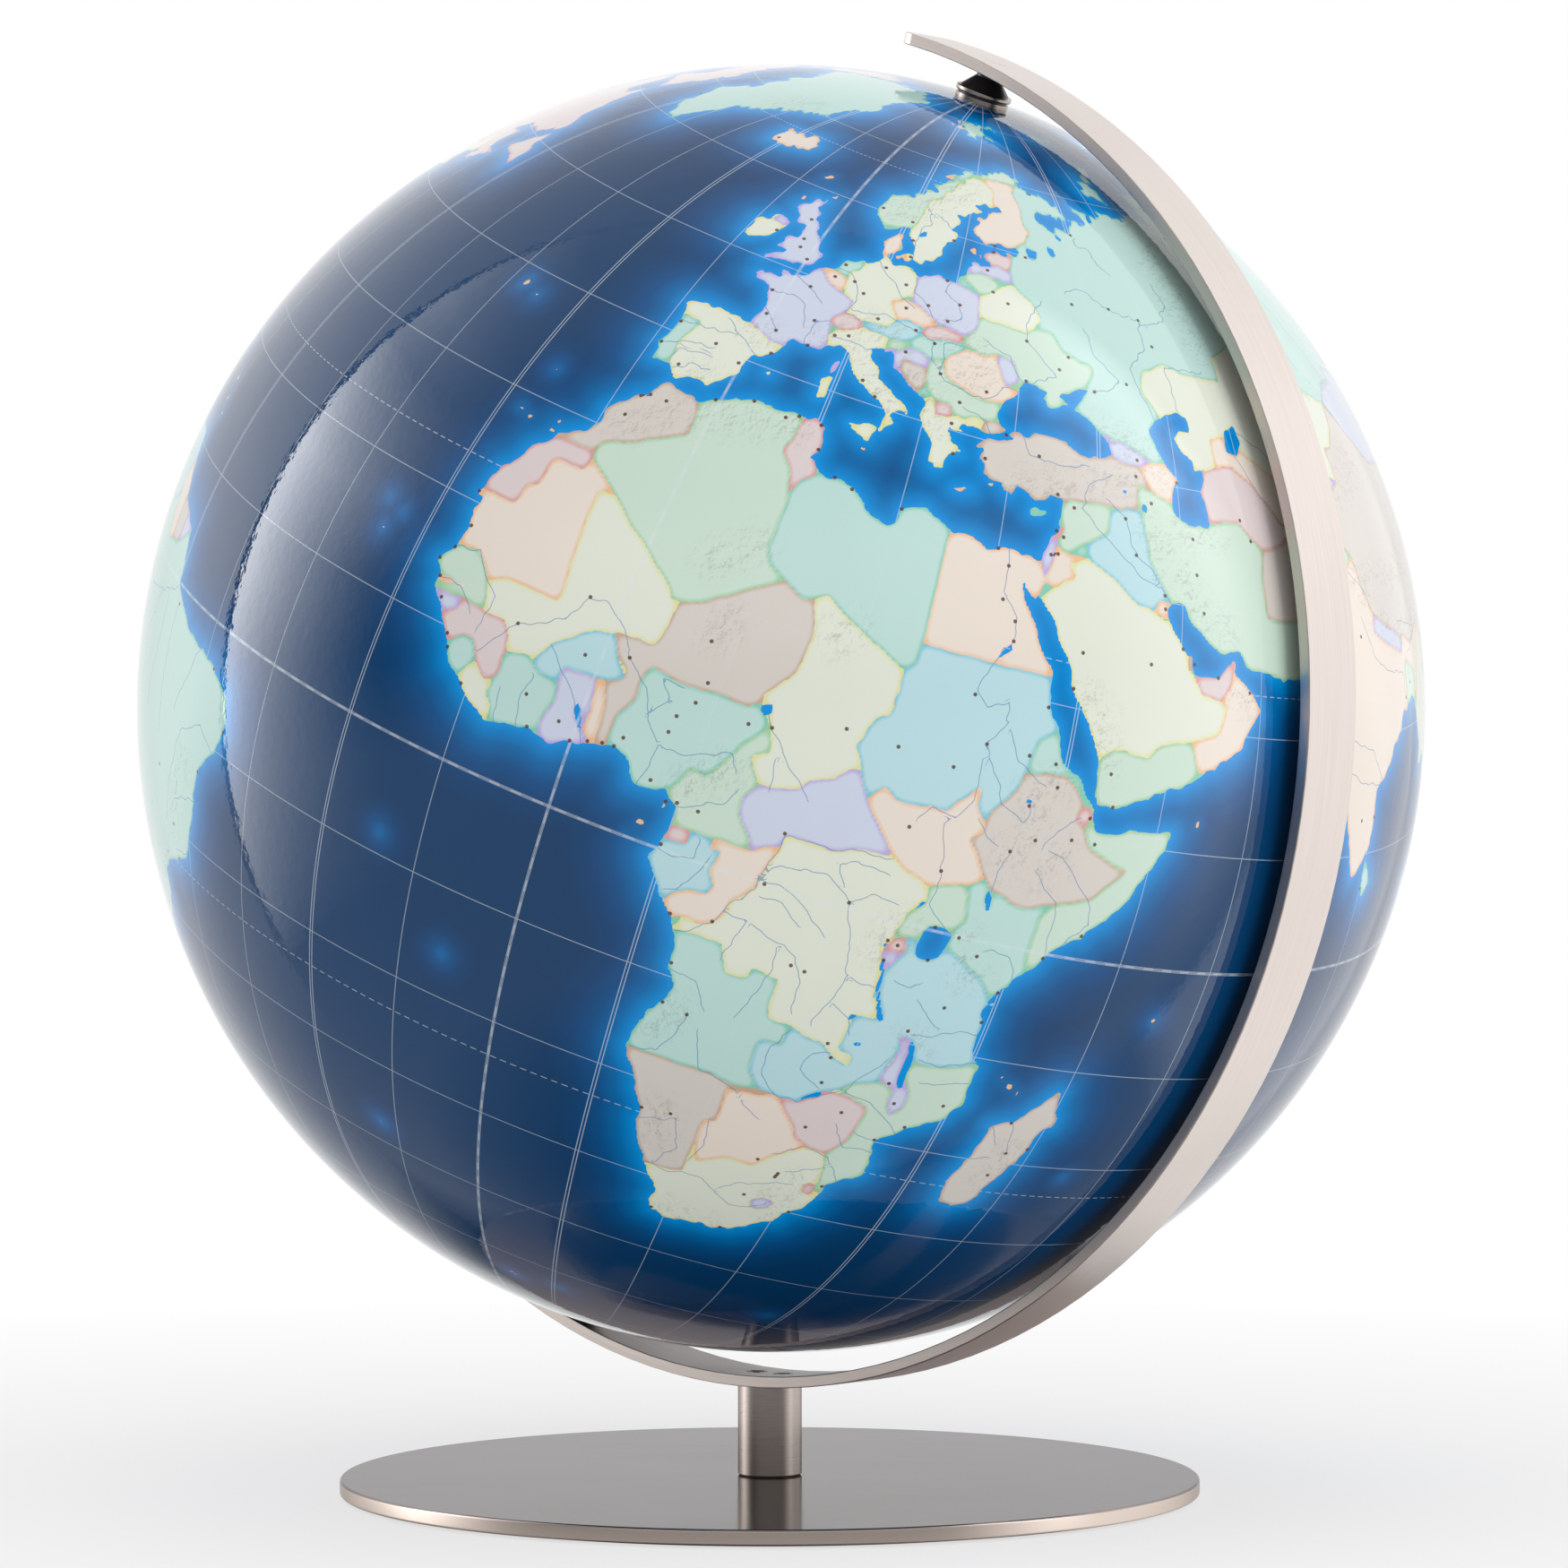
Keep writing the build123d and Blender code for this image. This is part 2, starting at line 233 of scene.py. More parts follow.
cover_radius = 0.0041
cover_proud = 2e-5
cover_depth = 2e-4
cover_sides = 48
head_depth = 0.001
bar_outside = from_arc(points_of("meridian_arc")).max()
rim = np.arange(cover_sides)
next_on_rim = np.roll(rim, -1)
cover_walls = np.column_stack([rim, next_on_rim, next_on_rim + cover_sides, rim + cover_sides])
cover_faces = [rim[::-1].tolist(), (rim + cover_sides).tolist(), *cover_walls.tolist()]
along_bar = cover_radius * np.cos(rim * math.tau / cover_sides)
across_bar = cover_radius * np.sin(rim * math.tau / cover_sides)
for pole in ("north", "south"):
    screw = points_of(f"{pole}_pivot_screw")
    head = screw[from_arc(screw) > from_arc(screw).max() - head_depth].mean(axis=0)
    turns = math.atan2(head[2] - arc_centre[2], head[0] - arc_centre[0]) + along_bar / bar_outside
    rings = [np.column_stack([np.cos(turns) * reach, across_bar, np.sin(turns) * reach]) + arc_centre
             for reach in (bar_outside + cover_proud, bar_outside - cover_depth)]
    cover_mesh = bpy.data.meshes.new(f"{pole}_pivot_cover")
    cover_mesh.from_pydata(np.vstack(rings).tolist(), [], cover_faces)
    cover_mesh.materials.append(bar_steel)
    cover = bpy.data.objects.new(f"{pole}_pivot_cover", cover_mesh)
    bpy.context.scene.collection.objects.link(cover)
    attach(cover, "stand")

# Screws: countersunk socket screws of steel with a dark oxide finish. Two hold the bar to the post, one the
# post to the plate, and one at each pole holds the axle to the bar.
screw_steel, *_ = brushed_metal(
    "dark_oxide_screws", "#4A4644", line_width=0.3, line_length=3, roughness=0.35)
dress(screw_steel, "arc_screws", "post_bolt", "north_pivot_screw", "south_pivot_screw")

# Axle and seat washers: turned from bright steel. The axle is fixed to the bar at both poles, and the
# curved washers lie inside the shell, under the nuts.
bright_steel, *_ = brushed_metal(
    "turned_bright_steel", "#C4C2C1", line_width=0.25, line_length=30, roughness=0.14)
dress(bright_steel, "axle_rod", "north_seat_washer", "south_seat_washer")

# Collars and pole bushes: turned stainless rings with a satin finish. The axle is clamped against the
# collars, and the flanged bushes go through the shell and turn with it.
collar_steel, *_ = brushed_metal(
    "satin_stainless_collars", "#A89C94", line_width=0.25, line_length=30, roughness=0.26)
dress(collar_steel, "north_collar", "south_collar", "north_pole_bush", "south_pole_bush")

# Cone spacers and slip washers: the cones are moulded from black acetal, and the washers carry the same
# black as painted shade, for the dark gap under the collars. The cones stand between the bar and the
# collars, the washers between the collars and the bushes. The mould leaves a faint eggshell, drawn coarse
# to show.


def mottled_plastic(name, dark, light, blotch, detail, smooth, dull):
    """A plastic whose tone runs from dark to light, and its roughness from smooth to dull, in blotches of
    that many millimetres. Gives also the value that the blotches follow."""
    material, tree, finish = new_material(name)
    place = add(tree, "TexCoord", out="Object")
    mottle = add(tree, "TexNoise", place, named={"Scale": per_metre(blotch), "Detail": detail})
    shade = add(tree, "ValToRGB", mottle)
    for stop, code in zip(shade.node.color_ramp.elements, (dark, light)):
        stop.color = srgb(code)
    rough = add(tree, "MapRange", mottle, 0.3, 0.7, smooth, dull)
    fill(tree, finish, {"Base Color": shade, "Roughness": rough})
    return material, tree, finish, mottle


acetal, tree, finish, eggshell = mottled_plastic(
    "black_acetal_and_painted_shade", "#1E1B1A", "#322D2B", blotch=0.6, detail=3.0, smooth=0.30, dull=0.42)
skin = add(tree, "Bump", named={"Strength": 0.08, "Distance": 0.0002, "Height": eggshell})
fill(tree, finish, {"Normal": skin})
# The black on the thrust washers is painted shade, for the dark gap under the collars.
dress(acetal, "north_cone_spacer", "south_cone_spacer", "north_thrust_washer", "south_thrust_washer")

# Bearing sleeves: turned from natural white acetal, one inside each bush. They run on the axle without oil,
# and turning leaves them slightly dull.
slip, *_ = mottled_plastic(
    "turned_white_acetal", "#DAD7CF", "#EDEBE5", blotch=0.8, detail=2.0, smooth=0.38, dull=0.5)
dress(slip, "north_bearing_sleeve", "south_bearing_sleeve")

# Clamp nuts: hexagon nuts cut from drawn brass bar, inside the ball. They hold the bushes to the shell.
# Drawing leaves fine lines along the brass.
nut_brass, *_ = brushed_metal("drawn_brass_nuts", "#C9A44F", line_width=0.3, line_length=6, roughness=0.22)
dress(nut_brass, "north_clamp_nut", "south_clamp_nut")

# Shell: two half balls of clear acrylic, blown and trimmed, with a ring glued inside their joint.
# The map covers them, so only a slightly milky tint and faint flow marks are given.
acrylic, tree, finish, _ = mottled_plastic(
    "blown_acrylic_shell", "#DDE3E6", "#EEF1F2", blotch=40, detail=2.0, smooth=0.12, dull=0.2)
fill(tree, finish, {"IOR": 1.49})
dress(acrylic, "north_hemisphere", "south_hemisphere", "equator_ring")

# Printed map: twelve paper gores with an offset print and a gloss film, pasted on edge to edge. Outlines
# are longitudes and latitudes in degrees. The first letter is a tint, or w for water: green, teal, blue,
# cream, peach, n for tan, rose or lilac. A coast's letter is the tint of its ground.
coasts = """
c -5.9 35.8 -6.2 35.2 -6.9 34 -7.6 33.6 -8.5 33.2 -9.3 32.3 -9.8 31.5 -9.8 30.6 -9.6 30.4 -10.2 29.4
  -11.1 28.8 -12.9 27.9 -13.4 27.1 -14.5 26.1 -14.9 25.2 -15.9 23.7 -16.3 22.9 -16.9 21.9 -17.1 20.8
  -16.4 20.7 -16.2 20.2 -16.5 19.4 -16 18.1 -16.5 16 -17.5 14.7 -17 14.3 -16.6 13.4 -16.8 12.5 -16.2 12
  -15.8 11.7 -15 10.9 -13.7 9.5 -13.2 8.5 -12.9 7.9 -12.5 7.4 -11.4 6.8 -10.8 6.3 -10 5.8 -9 5 -7.6 4.3
  -6.6 4.7 -5.5 5.1 -4 5.2 -3.1 5.1 -2.1 4.7 -1.7 4.9 -1.2 5.1 -0.2 5.5 1 5.9 2.4 6.3 3.4 6.4 5 5.8
  5.4 5.1 6 4.3 6.8 4.3 7.6 4.4 8.5 4.7 9 4 9.7 3.9 9.9 2.9 9.7 1.8 9.3 0.7 9.5 0.3 8.7 -0.7 9.3 -1.6
  10.6 -3.4 11.1 -4 11.9 -4.8 12.2 -5.6 12.4 -6.1 12.9 -6.9 13.1 -7.8 13.2 -8.8 13 -9.1 13.8 -10.7
  13.6 -12.3 12.5 -13.5 12.1 -15.2 11.8 -15.8 11.7 -17.2 12 -18.2 13 -20.1 13.9 -21.8 14.5 -22.7
  14.5 -24.5 15.1 -26.6 16.4 -28.6 16.9 -29.3 17.3 -30.4 18.2 -31.7 18 -32.7 17.9 -32.9 18.4 -33.9
  18.5 -34.3 18.9 -34.1 20 -34.8 21.8 -34.4 23.4 -34.1 24.9 -34.2 25.7 -34 27.9 -33 29.5 -31.7 31.1 -29.9
  32.1 -28.8 32.9 -26.9 32.7 -25.9 33.3 -25.2 35.5 -23.8 35.5 -22.8 35.4 -21.8 35.1 -20.9 34.8 -19.9
  36.3 -18.8 37 -18 39.9 -16.3 40.7 -15 40.8 -14.4 40.6 -13 40.6 -10.7 39.7 -10 39.5 -8.9 39.4 -7.9
  39.3 -6.8 38.8 -6.1 39.1 -5 39.7 -4 40.1 -3.2 41 -2.3 42.5 -0.4 44 1.1 45.4 2 47 3.6 48.5 5.3 49.8 7.9
  50.8 9.5 51.1 10.4 51.3 11.8 49.2 11.3 47 11.1 45 10.4 44 10.5 43.4 11.4 43.2 11.6 43.3 12.4 42.7 13
  41.2 14.6 39.5 15.6 38.6 18 37.4 19.1 37.2 21 36.9 22 35.8 23.9 34.9 25.1 34.3 26.1 33.8 27.2 33.1 28.3
  32.6 29 32.7 30 32.4 31.2 31.8 31.5 30.4 31.5 29.9 31.2 28.9 30.9 27.2 31.4 25.2 31.6 24 32.1 22.6 32.8
  21.8 32.9 20.1 32.1 20 30.9 19.2 30.3 16.6 31.2 15.2 32.4 13.2 32.9 12.1 32.9 10.9 33.7 10.1 33.9
  10.8 34.8 11 35.5 10.6 35.9 10.6 36.4 11 37 10.3 36.9 9.8 37.3 8.8 37 7.7 37 5.1 36.8 3 36.8 1.3 36.5
  0.1 35.9 -0.7 35.7 -1.9 35.1 -3 35.3 -3.9 35.2 -5.2 35.6 -5.4 35.9
t 32.3 31.3 33.8 31.1 34.5 31.5 35 32.8 35.5 33.9 35.8 35.5 36.1 36.6 34.6 36.8 33.9 36.2 32.8 36 32 36.5
  30.7 36.8 30.4 36.2 29.6 36.1 29 36.7 28.2 36.7 27.3 37 27.2 37.9 26.3 38.3 26.8 38.9 26.6 39.3
  26.1 39.5 26.2 40 27.5 40.3 29 40.4 29.9 40.7 29.1 41 29.2 41.2 31.4 41.3 32.4 41.8 33.8 42 35.1 42
  36 41.7 36.4 41.3 37.9 41 39.7 41 41.5 41.5 41.6 42.2 41 43 39.7 43.6 37.8 44.7 36.7 45.1 37.9 46
  38.3 46.7 39.3 47.1 37.5 47.1 36.8 46.7 34.8 46.1 35 45.6 36.5 45.4 35.4 45 34.1 44.4 33.4 44.6
  33.3 45.2 32.5 45.4 33.6 46 32 46.3 30.7 46.5 29.7 45.2 28.6 44.2 27.9 43.2 27.6 42.5 28 41.8 29 41.2
  28.9 41 27.5 40.9 26.7 40.5 26.2 40.1 26.8 40.6 26 40.8 24.4 40.9 23.8 40.5 24.3 40.2 23.7 40.2 23.4 40
  22.9 40.5 22.6 40.1 23.1 39.3 22.9 38.9 24 38.2 24 37.7 23.5 38 23.2 37.4 22.8 37.5 23.1 36.5 22.6 36.7
  22.4 36.4 22 37 21.6 36.8 21.3 37.7 21.3 38.3 20.7 38.9 20 39.8 19.3 40.4 19.5 41.3 19.3 41.9 18.1 42.6
  16.4 43.5 15.2 44.1 14.9 45 14.4 45.3 13.9 44.9 13.7 45.6 12.4 45.4 12.5 44.9 12.3 44.4 13.5 43.6
  14.2 42.5 15 42 16.1 41.9 16.1 41.5 17.9 40.7 18.5 40.1 18.3 39.8 17.2 40.5 16.8 40.3 16.5 39.7 17.1 39
  16.5 38.7 16 37.9 15.7 38 15.9 38.7 15.7 39.9 14.8 40.6 14.2 40.8 13.5 41.2 12.6 41.5 11.8 42.1
  11.1 42.4 10.5 43 10.2 43.9 8.9 44.4 8.4 44.2 7.5 43.7 6.7 43.2 5.9 43.1 5.3 43.3 4.6 43.4 3.9 43.5
  3.1 43.1 3.2 42.3 2.2 41.4 0.9 40.7 0 39.9 -0.3 39.4 0.2 38.7 -0.5 38.3 -0.8 37.6 -2.1 36.7 -4.4 36.7
  -5.4 36.1 -6.3 36.6 -6.9 37.2 -8 37 -9 37 -8.8 38 -9.4 38.7 -8.7 41.1 -8.8 42.2 -9.2 42.9 -8.3 43.4
  -7.7 43.7 -5.7 43.6 -3.8 43.5 -1.8 43.4 -1.2 44.6 -1.1 45.6 -1.2 46.2 -2.2 47.2 -3.1 47.5 -4.4 47.8
  -4.7 48.4 -3 48.8 -1.5 48.6 -1.9 49.7 -1.2 49.6 -0.3 49.3 0.1 49.6 1.6 50.2 1.8 50.9 3.6 51.5 4.2 52
  4.8 52.9 6.8 53.5 8 53.6 8.8 53.9 8.9 54.5 8.2 55.5 8.2 56.7 9.9 57.6 10.6 57.7 10.3 57 10.9 56.4
  10.2 56.1 9.7 55.5 9.8 54.8 10.9 54 12.1 54.2 13.5 54.6 14.3 53.9 16.1 54.2 17.6 54.8 18.9 54.4 20 54.8
  21 55.6 21 56.7 21.6 57.5 22.6 57.7 24 57 24.4 58.3 23.5 58.8 24.7 59.5 28 59.5 30 59.9 28.7 60.6
  25 60.2 23 59.9 21.3 60.8 21.4 63 23.1 63.9 25.3 65 24.6 65.8 22.2 65.6 21.4 64.7 20.3 63.7 17.4 62.4
  17.2 60.7 18.8 60 17.2 58.7 16.6 57.4 15.9 56.1 14.4 55.7 14.2 55.4 12.9 55.5 12.6 56.3 11.8 57.7
  11.1 58.9 10.6 59.4 9.8 58.9 8 58.1 7 58 5.5 58.8 5 60.4 5 61.8 6.1 62.5 8.5 63.4 10.6 64.4 12.5 65.9
  14.2 67.2 15.5 68.3 18.5 69.7 23.5 70.6 25.7 71.1 28.5 70.9 31 70.3 30 69.7 33 69.4 36 69 39.8 68.1
  41.1 66.8 38.5 66.1 34.5 66.6 32.6 67.1 34.8 65 35 64.3 38 63.9 37 65.1 39.8 64.6 40.4 65.5 42.2 66.4
  44.2 66 43.9 67.2 43.4 68.6 46.3 68 45.9 66.9 48 67.6 53.5 68.8 55 68.4 59.5 68.4 60.8 69.8 64.5 69.3
  68.6 68.3 66.9 69.6 67.2 71.2 69.5 72.9 72.7 72.8 72.8 70.8 72 68.8 73.8 67 74.4 71.5 75.1 72.7
  80.5 73.6 87 75 98 76.4 104.3 77.7 112.5 76.5 113.5 73.8 106 73 112 73.9 119 73 123 72.9 127 73.4
  129.5 71 133 71.5 140 72.5 150 71.6 160 69.6 170.5 70 178 69.4 182 68.5 190.3 66.1 187 64.3 181.5 66
  177.5 64.7 179.3 62.4 170.3 60 164 59.9 163.2 58 163.2 56 161.8 55 160 53.2 156.7 50.9 155.6 53.5
  155.7 56 157 57.8 162 60.3 164 62.4 160 61.8 156.5 61.5 154.5 59.4 150.8 59.5 142.5 59.3 138.2 56.4
  135.3 54.7 137.5 53.8 141.2 52.9 140.5 50.5 140.3 48.5 135.5 44.4 132 43.1 130.7 42.3 129.7 41
  127.5 39.8 129.3 37 129.3 35.3 126.4 34.4 126.6 37.5 125 38 125.3 39.5 124.2 39.9 121.3 38.8 121.9 40.8
  120.5 40.2 117.8 39 119 37.3 120.8 37.8 122.6 37.3 120.4 36 119.3 35 120.3 34.1 121.9 31.7 120.7 30.3
  121.9 29.8 121.6 28.3 119.7 26 118.2 24.5 116.7 23.3 114.2 22.3 110.6 21.2 110.2 20.3 109.7 21.4
  108.2 21.6 106.7 20.5 105.8 18.7 108.3 16.1 109.3 13.5 109.2 11.7 107.1 10.4 106.6 9.7 104.8 8.6 105 10
  103.5 10.6 102.5 12 101.3 12.6 100.5 13.4 99.9 11.8 99.3 10.4 99.4 9.2 100.6 7.2 102.3 6.2 103.4 3.8
  104.2 1.4 103.5 1.3 101.3 3 100.4 5.3 98.3 8 98.6 10 98.6 12.4 97.6 16.4 96.3 16.5 95 15.8 94.3 16
  94.4 18 92.9 20.1 91.8 22.2 90.5 22.6 89 21.8 87 21.4 86.7 20.2 85 19.4 82.3 16.7 80.1 15.5 80.3 13.1
  79.9 10.3 79 9.3 78.2 8.6 77.5 8.1 76.3 9.9 74.8 12.9 73.8 15.5 72.8 19 72.7 21.1 72.4 22.2 72.1 21.2
  70.9 20.7 69 22.2 70.3 22.9 68.6 23.3 67.4 24 66.7 25 62.3 25.1 57.8 25.7 56.9 27 54.8 26.5 52.6 27.5
  50.8 28.9 50.1 30.1 48.5 30 48 29.4 48.4 28.5 50.1 26.6 50.8 25.5 51.2 26.1 51.6 25.2 51.5 24.4
  54.3 24.3 56.1 26 56.4 26.3 56.4 25 58.6 23.6 59.8 22.5 58.6 20.4 57.8 19 56.4 18 55.2 17.5 52.2 15.6
  49.1 14.5 47.4 13.6 45 12.8 43.4 12.7 42.9 14.8 42.5 16.9 41.1 19.1 39.1 21.5 38 24.1 36.5 26.2 35.2 28
  34.6 28.1 35 29.5 34.5 28.5 34.2 27.8 33.6 28.2 32.7 29.4 32.5 30
r -168 65.7 -162 66.8 -166.8 68.3 -163 69.5 -156.5 71.3 -150 70.4 -141 69.6 -135 69.3 -128 70.4 -120 69.4
  -115 68.1 -108 68 -101 68 -96 68.5 -94.5 71.9 -92 69.8 -88 68.7 -85.5 69.7 -82 69.7 -81.4 68 -86 66.4
  -88 64.5 -93.5 62.5 -94.7 60 -94.2 58.7 -92.5 57 -88 56.6 -82.2 55.1 -82.3 52.9 -80 51.3 -78.8 52.5
  -79.5 54.7 -76.6 56.3 -78.5 58.6 -77.5 60 -78 62.4 -73.6 62.4 -69.5 59 -66.5 58.8 -64.6 60.3 -62 57.5
  -59 54.8 -55.7 52.4 -58.5 51.3 -60 50.2 -66.4 50.2 -70.8 47 -68 48.7 -64.3 48.9 -65 47 -63.5 45.9
  -60 46.2 -63.5 44.6 -65.7 43.5 -66.2 44.3 -64.5 45.4 -67 44.8 -70 43.7 -70.7 42.6 -70 41.7 -74 40.6
  -74 39.6 -75.4 38 -75.6 35.3 -77.9 33.9 -81.2 31.5 -80.1 26.8 -80.4 25.2 -81.7 25.9 -82.8 27.8 -84 30.1
  -88 30.3 -89.3 29.1 -94.7 29.4 -97.3 27.5 -97.8 22.3 -96.2 19.2 -94.5 18.2 -91.8 18.5 -90.5 20.8
  -86.8 21.4 -88.2 17.5 -88.6 15.8 -83.2 15 -83.7 11 -82.2 9.2 -80 9.2 -77.3 8.6 -78.2 7.6 -79.5 8.9
  -80.4 7.5 -83.6 8.5 -85.7 10 -87.6 12.9 -91.5 14 -94.5 16.1 -97.8 16 -101.8 17.7 -105.5 20.2 -108.5 25.4
  -113 31.2 -114.8 31.8 -113 29 -109.5 23.1 -112.1 25.5 -115 28 -117.2 32.8 -120.6 34.6 -122.5 37.5
  -124.3 40.4 -124 46.2 -124.7 48.3 -122.6 48.5 -127.5 51 -130 54.2 -135.5 58.3 -139.7 59.6 -148 60.2
  -151.8 59.3 -151 61 -154 59.2 -157.5 56.8 -164.8 54.6 -157.7 58 -162 58.7 -162 60 -166 61.7 -161 63.6
  -161 64.5 -166.4 64.6
t -77.4 8.6 -75.6 9.5 -74.8 11.1 -72.2 12 -71.4 11 -70 12 -68.3 10.7 -62 10.7 -60 8.5 -57 6 -51.7 4.2
  -50 1.5 -50 0 -48.5 -0.7 -44.3 -2.7 -41.5 -2.9 -38.6 -3.7 -35.3 -5.2 -34.8 -7.5 -35.2 -9.3 -37 -11
  -38.5 -13 -39.1 -15.5 -39.3 -17.8 -40.3 -20.3 -41 -22 -43.2 -23 -45 -23.6 -48 -25.5 -48.6 -28 -50 -30
  -52 -32.2 -53.4 -33.8 -55 -35 -58.4 -34 -57 -36.5 -58 -38.2 -62 -39 -65 -41 -63.7 -42.5 -65.3 -44.5
  -67.5 -46 -65.8 -47.7 -69.2 -51.7 -65.2 -54.7 -68.5 -55.5 -72 -54 -75.5 -49 -74.6 -46.8 -72.8 -42
  -73.8 -41 -73.3 -38 -71.5 -31 -70.5 -26 -70.3 -18.3 -76 -14 -77.2 -12 -81.2 -6 -81.3 -4.4 -80.9 -2.2
  -80 0 -78.8 1.5 -77.5 3.8 -77.9 7.3
t -73 78.3 -68 80 -60 82 -32 83.6 -20 82 -12 81.4 -18 80 -20 76.5 -19 74 -22 72 -22 70.4 -32 68 -37 65.8
  -40 65 -42 62 -43.5 59.9 -48.5 61.5 -51.5 64 -53.5 66.5 -51 69.5 -55 72.5 -58 75 -66 76
b 113.7 -22.6 114.2 -26.3 115.7 -31.8 115.1 -34.3 118 -35 124 -33 131.2 -31.5 135.7 -34.9 137.8 -32.6
  137 -35.2 139.7 -37 144 -38.5 146.4 -39.1 150 -37.4 151.2 -33.9 153.5 -28.2 153 -25.2 149 -20.5
  146.3 -18.9 145.4 -15 142.5 -10.7 141 -17 139.5 -17.5 135.5 -15 137 -12.2 130.8 -12.4 129.6 -14.9
  126 -14 122.2 -18 116.8 -20.6
l -180 -78.5 -158 -77.8 -135 -74.5 -113 -74 -100 -73 -73 -73 -68 -70 -66 -66.5 -58 -63.3 -61 -71 -62 -75
  -75 -78 -40 -78 -27 -76 -15 -72.5 0 -70 33 -69 55 -66 70 -68.5 80 -68 90 -66.6 130 -66.2 160 -69.5
  170.5 -71.5 165 -77.5 180 -78.5 180 -90 -180 -90
l -5.7 50 -4.1 50.3 -3.4 50.6 -1.3 50.6 1.4 51.2 0.7 51.5 1.7 52.5 0.3 52.9 0.1 53.6 -1.4 55 -2 55.8 -3 56
  -2.1 57.2 -4 57.6 -3.1 58.6 -5 58.6 -6.1 56.8 -4.8 55.5 -5.1 54.8 -3.5 54.9 -2.9 54 -3.1 53.4 -4.6 53.3
  -4.1 52.4 -5.2 51.9 -3 51.4 -4.5 51
c -7.3 55.3 -5.6 54.7 -6.1 53.3 -6.4 52.2 -8.3 51.8 -9.8 51.5 -9.5 52.7 -10 54.1 -8.5 54.3
p -24.3 65.5 -22.4 66.4 -21.3 65.5 -16.2 66.5 -13.6 65.1 -15 64.2 -18.8 63.4 -22.7 63.9 -22 64.4 -24 64.9
  -22 65.4
n 49.3 -12 50.5 -15.5 49.6 -16 49.4 -18.2 47.7 -23 47 -25 45.4 -25.6 44 -25 43.3 -22 44.4 -20 44.4 -16.2
  46.3 -15.7 48 -13.6
t 11 79 15 77 17 76.6 21 78.3 20 80 14 80
t 18 79.7 27 80.1 24 79.2
t 21 78 24.5 77.8 22 77.3
t 51.5 71.5 57.5 70.6 55.6 72.4 59 74.5 68.5 76.7 60 76.2 53 73
t 93 80 95 79 105 78.7 98 81
t 137 75.9 138 74.2 150 75
t 47 80.5 60 80.3 62 81.6 52 81.3
c 12.4 38 15.6 38.3 15.1 36.7
c 8.2 41 9.6 41.2 9.6 39.2 8.5 39
l 8.6 42.3 9.4 43 9.5 42 9.1 41.4
p 23.6 35.5 26.3 35.3 24.7 34.9
t 32.3 35 34.5 35.7 33.9 34.9 32.7 34.6
c 2.4 39.6 3.2 39.9 3.2 39.3
p 23 39 24.1 38.7 24.6 38 23.7 38.4
p 11.1 55.7 12.5 56 12.2 54.9 11.2 55.2
p 9.9 55.6 10.8 55.3 10.4 54.9
t 79.8 9.6 81.8 7.2 80.6 6 79.8 7.3
p 131 34 137 37.4 138.5 37.4 140 40 141 41.4 142 39.6 140.8 35.8 135.8 33.5 135 34.6
p 130 33.8 131.7 33.5 131.4 31.4 130.2 31.2
p 140 41.5 141.7 45.4 145.4 43.5 143.2 42
t 142 46 142.5 54.3 143.4 52 144.6 49 143.4 46.2
n 120.1 23 121.5 25.2 120.9 22
n 108.7 19.2 110.8 20 109.5 18.2
r 120.3 16 120.7 18.5 122.2 18.5 121.6 15.5 124 13 120.7 13.8
r 122 7 125.5 9.7 126.4 7 125.5 5.7
r 122 11.8 125 12.4 125 10.2 123 9.2
t 109 1.5 111.4 2.7 115 5 116.8 7 119.2 5.2 117.8 3 118.9 1 116 -4 111.7 -3.5 110 -1.6
t 95.3 5.6 97.5 5.2 103.5 0 106 -3 105.8 -5.8 102.2 -4 100.3 -1
t 105.2 -6.8 106.8 -6 110.9 -6.4 114.5 -7.8 114.4 -8.7 110 -8.1
t 119.5 -5.5 119 -3 120 0.8 125 1.6 120.5 0 120.7 -1.2 123.3 -0.9 121.6 -2 122.9 -4.2 121 -3 120.4 -5.6
t 116 -8.6 119 -8.2 123 -8.3 119 -8.9
c 131 -0.8 134 -0.8 135 -3.3 141 -2.6 147.8 -6.2 147 -6.8 150.8 -10.4 144 -7.7 143 -9.2 138.5 -8.3
  138 -5.5 133 -4 132 -2.7
b 144.7 -40.7 148.3 -40.9 147 -43.6
g 172.7 -34.5 175.5 -36.6 178.4 -37.7 175.3 -41.6 173.8 -39.3
g 172.7 -40.6 174.3 -41.7 172.8 -43.7 168.5 -46.6 166.5 -45.9
r -59.3 47.7 -55.6 51.5 -55 49.5 -53 48.5 -53 46.7
r -65 61.9 -62 66.8 -68 70 -80 73.7 -89 73 -85 70 -73 67 -73 64.5 -78 64.3 -71 62.8
r -117 70 -102 68.9 -105 72.8 -118 71.7
r -90 76.5 -78 76.5 -75 78.5 -62 82.4 -72 83.1 -92 81.5 -86 79
r -96 75.5 -80 75.6 -80 74.6
r -125 72 -119 71.5 -118 73.5 -123 75.5
r -117 75.5 -106 75 -106 76.5
r -128.3 50.7 -123.4 48.4 -125 50.3
p -84.9 21.9 -80 23 -74.2 20.2 -78 20.7
c -74.4 18.4 -72.7 19.9 -68.4 18.6 -71.5 17.7
"""

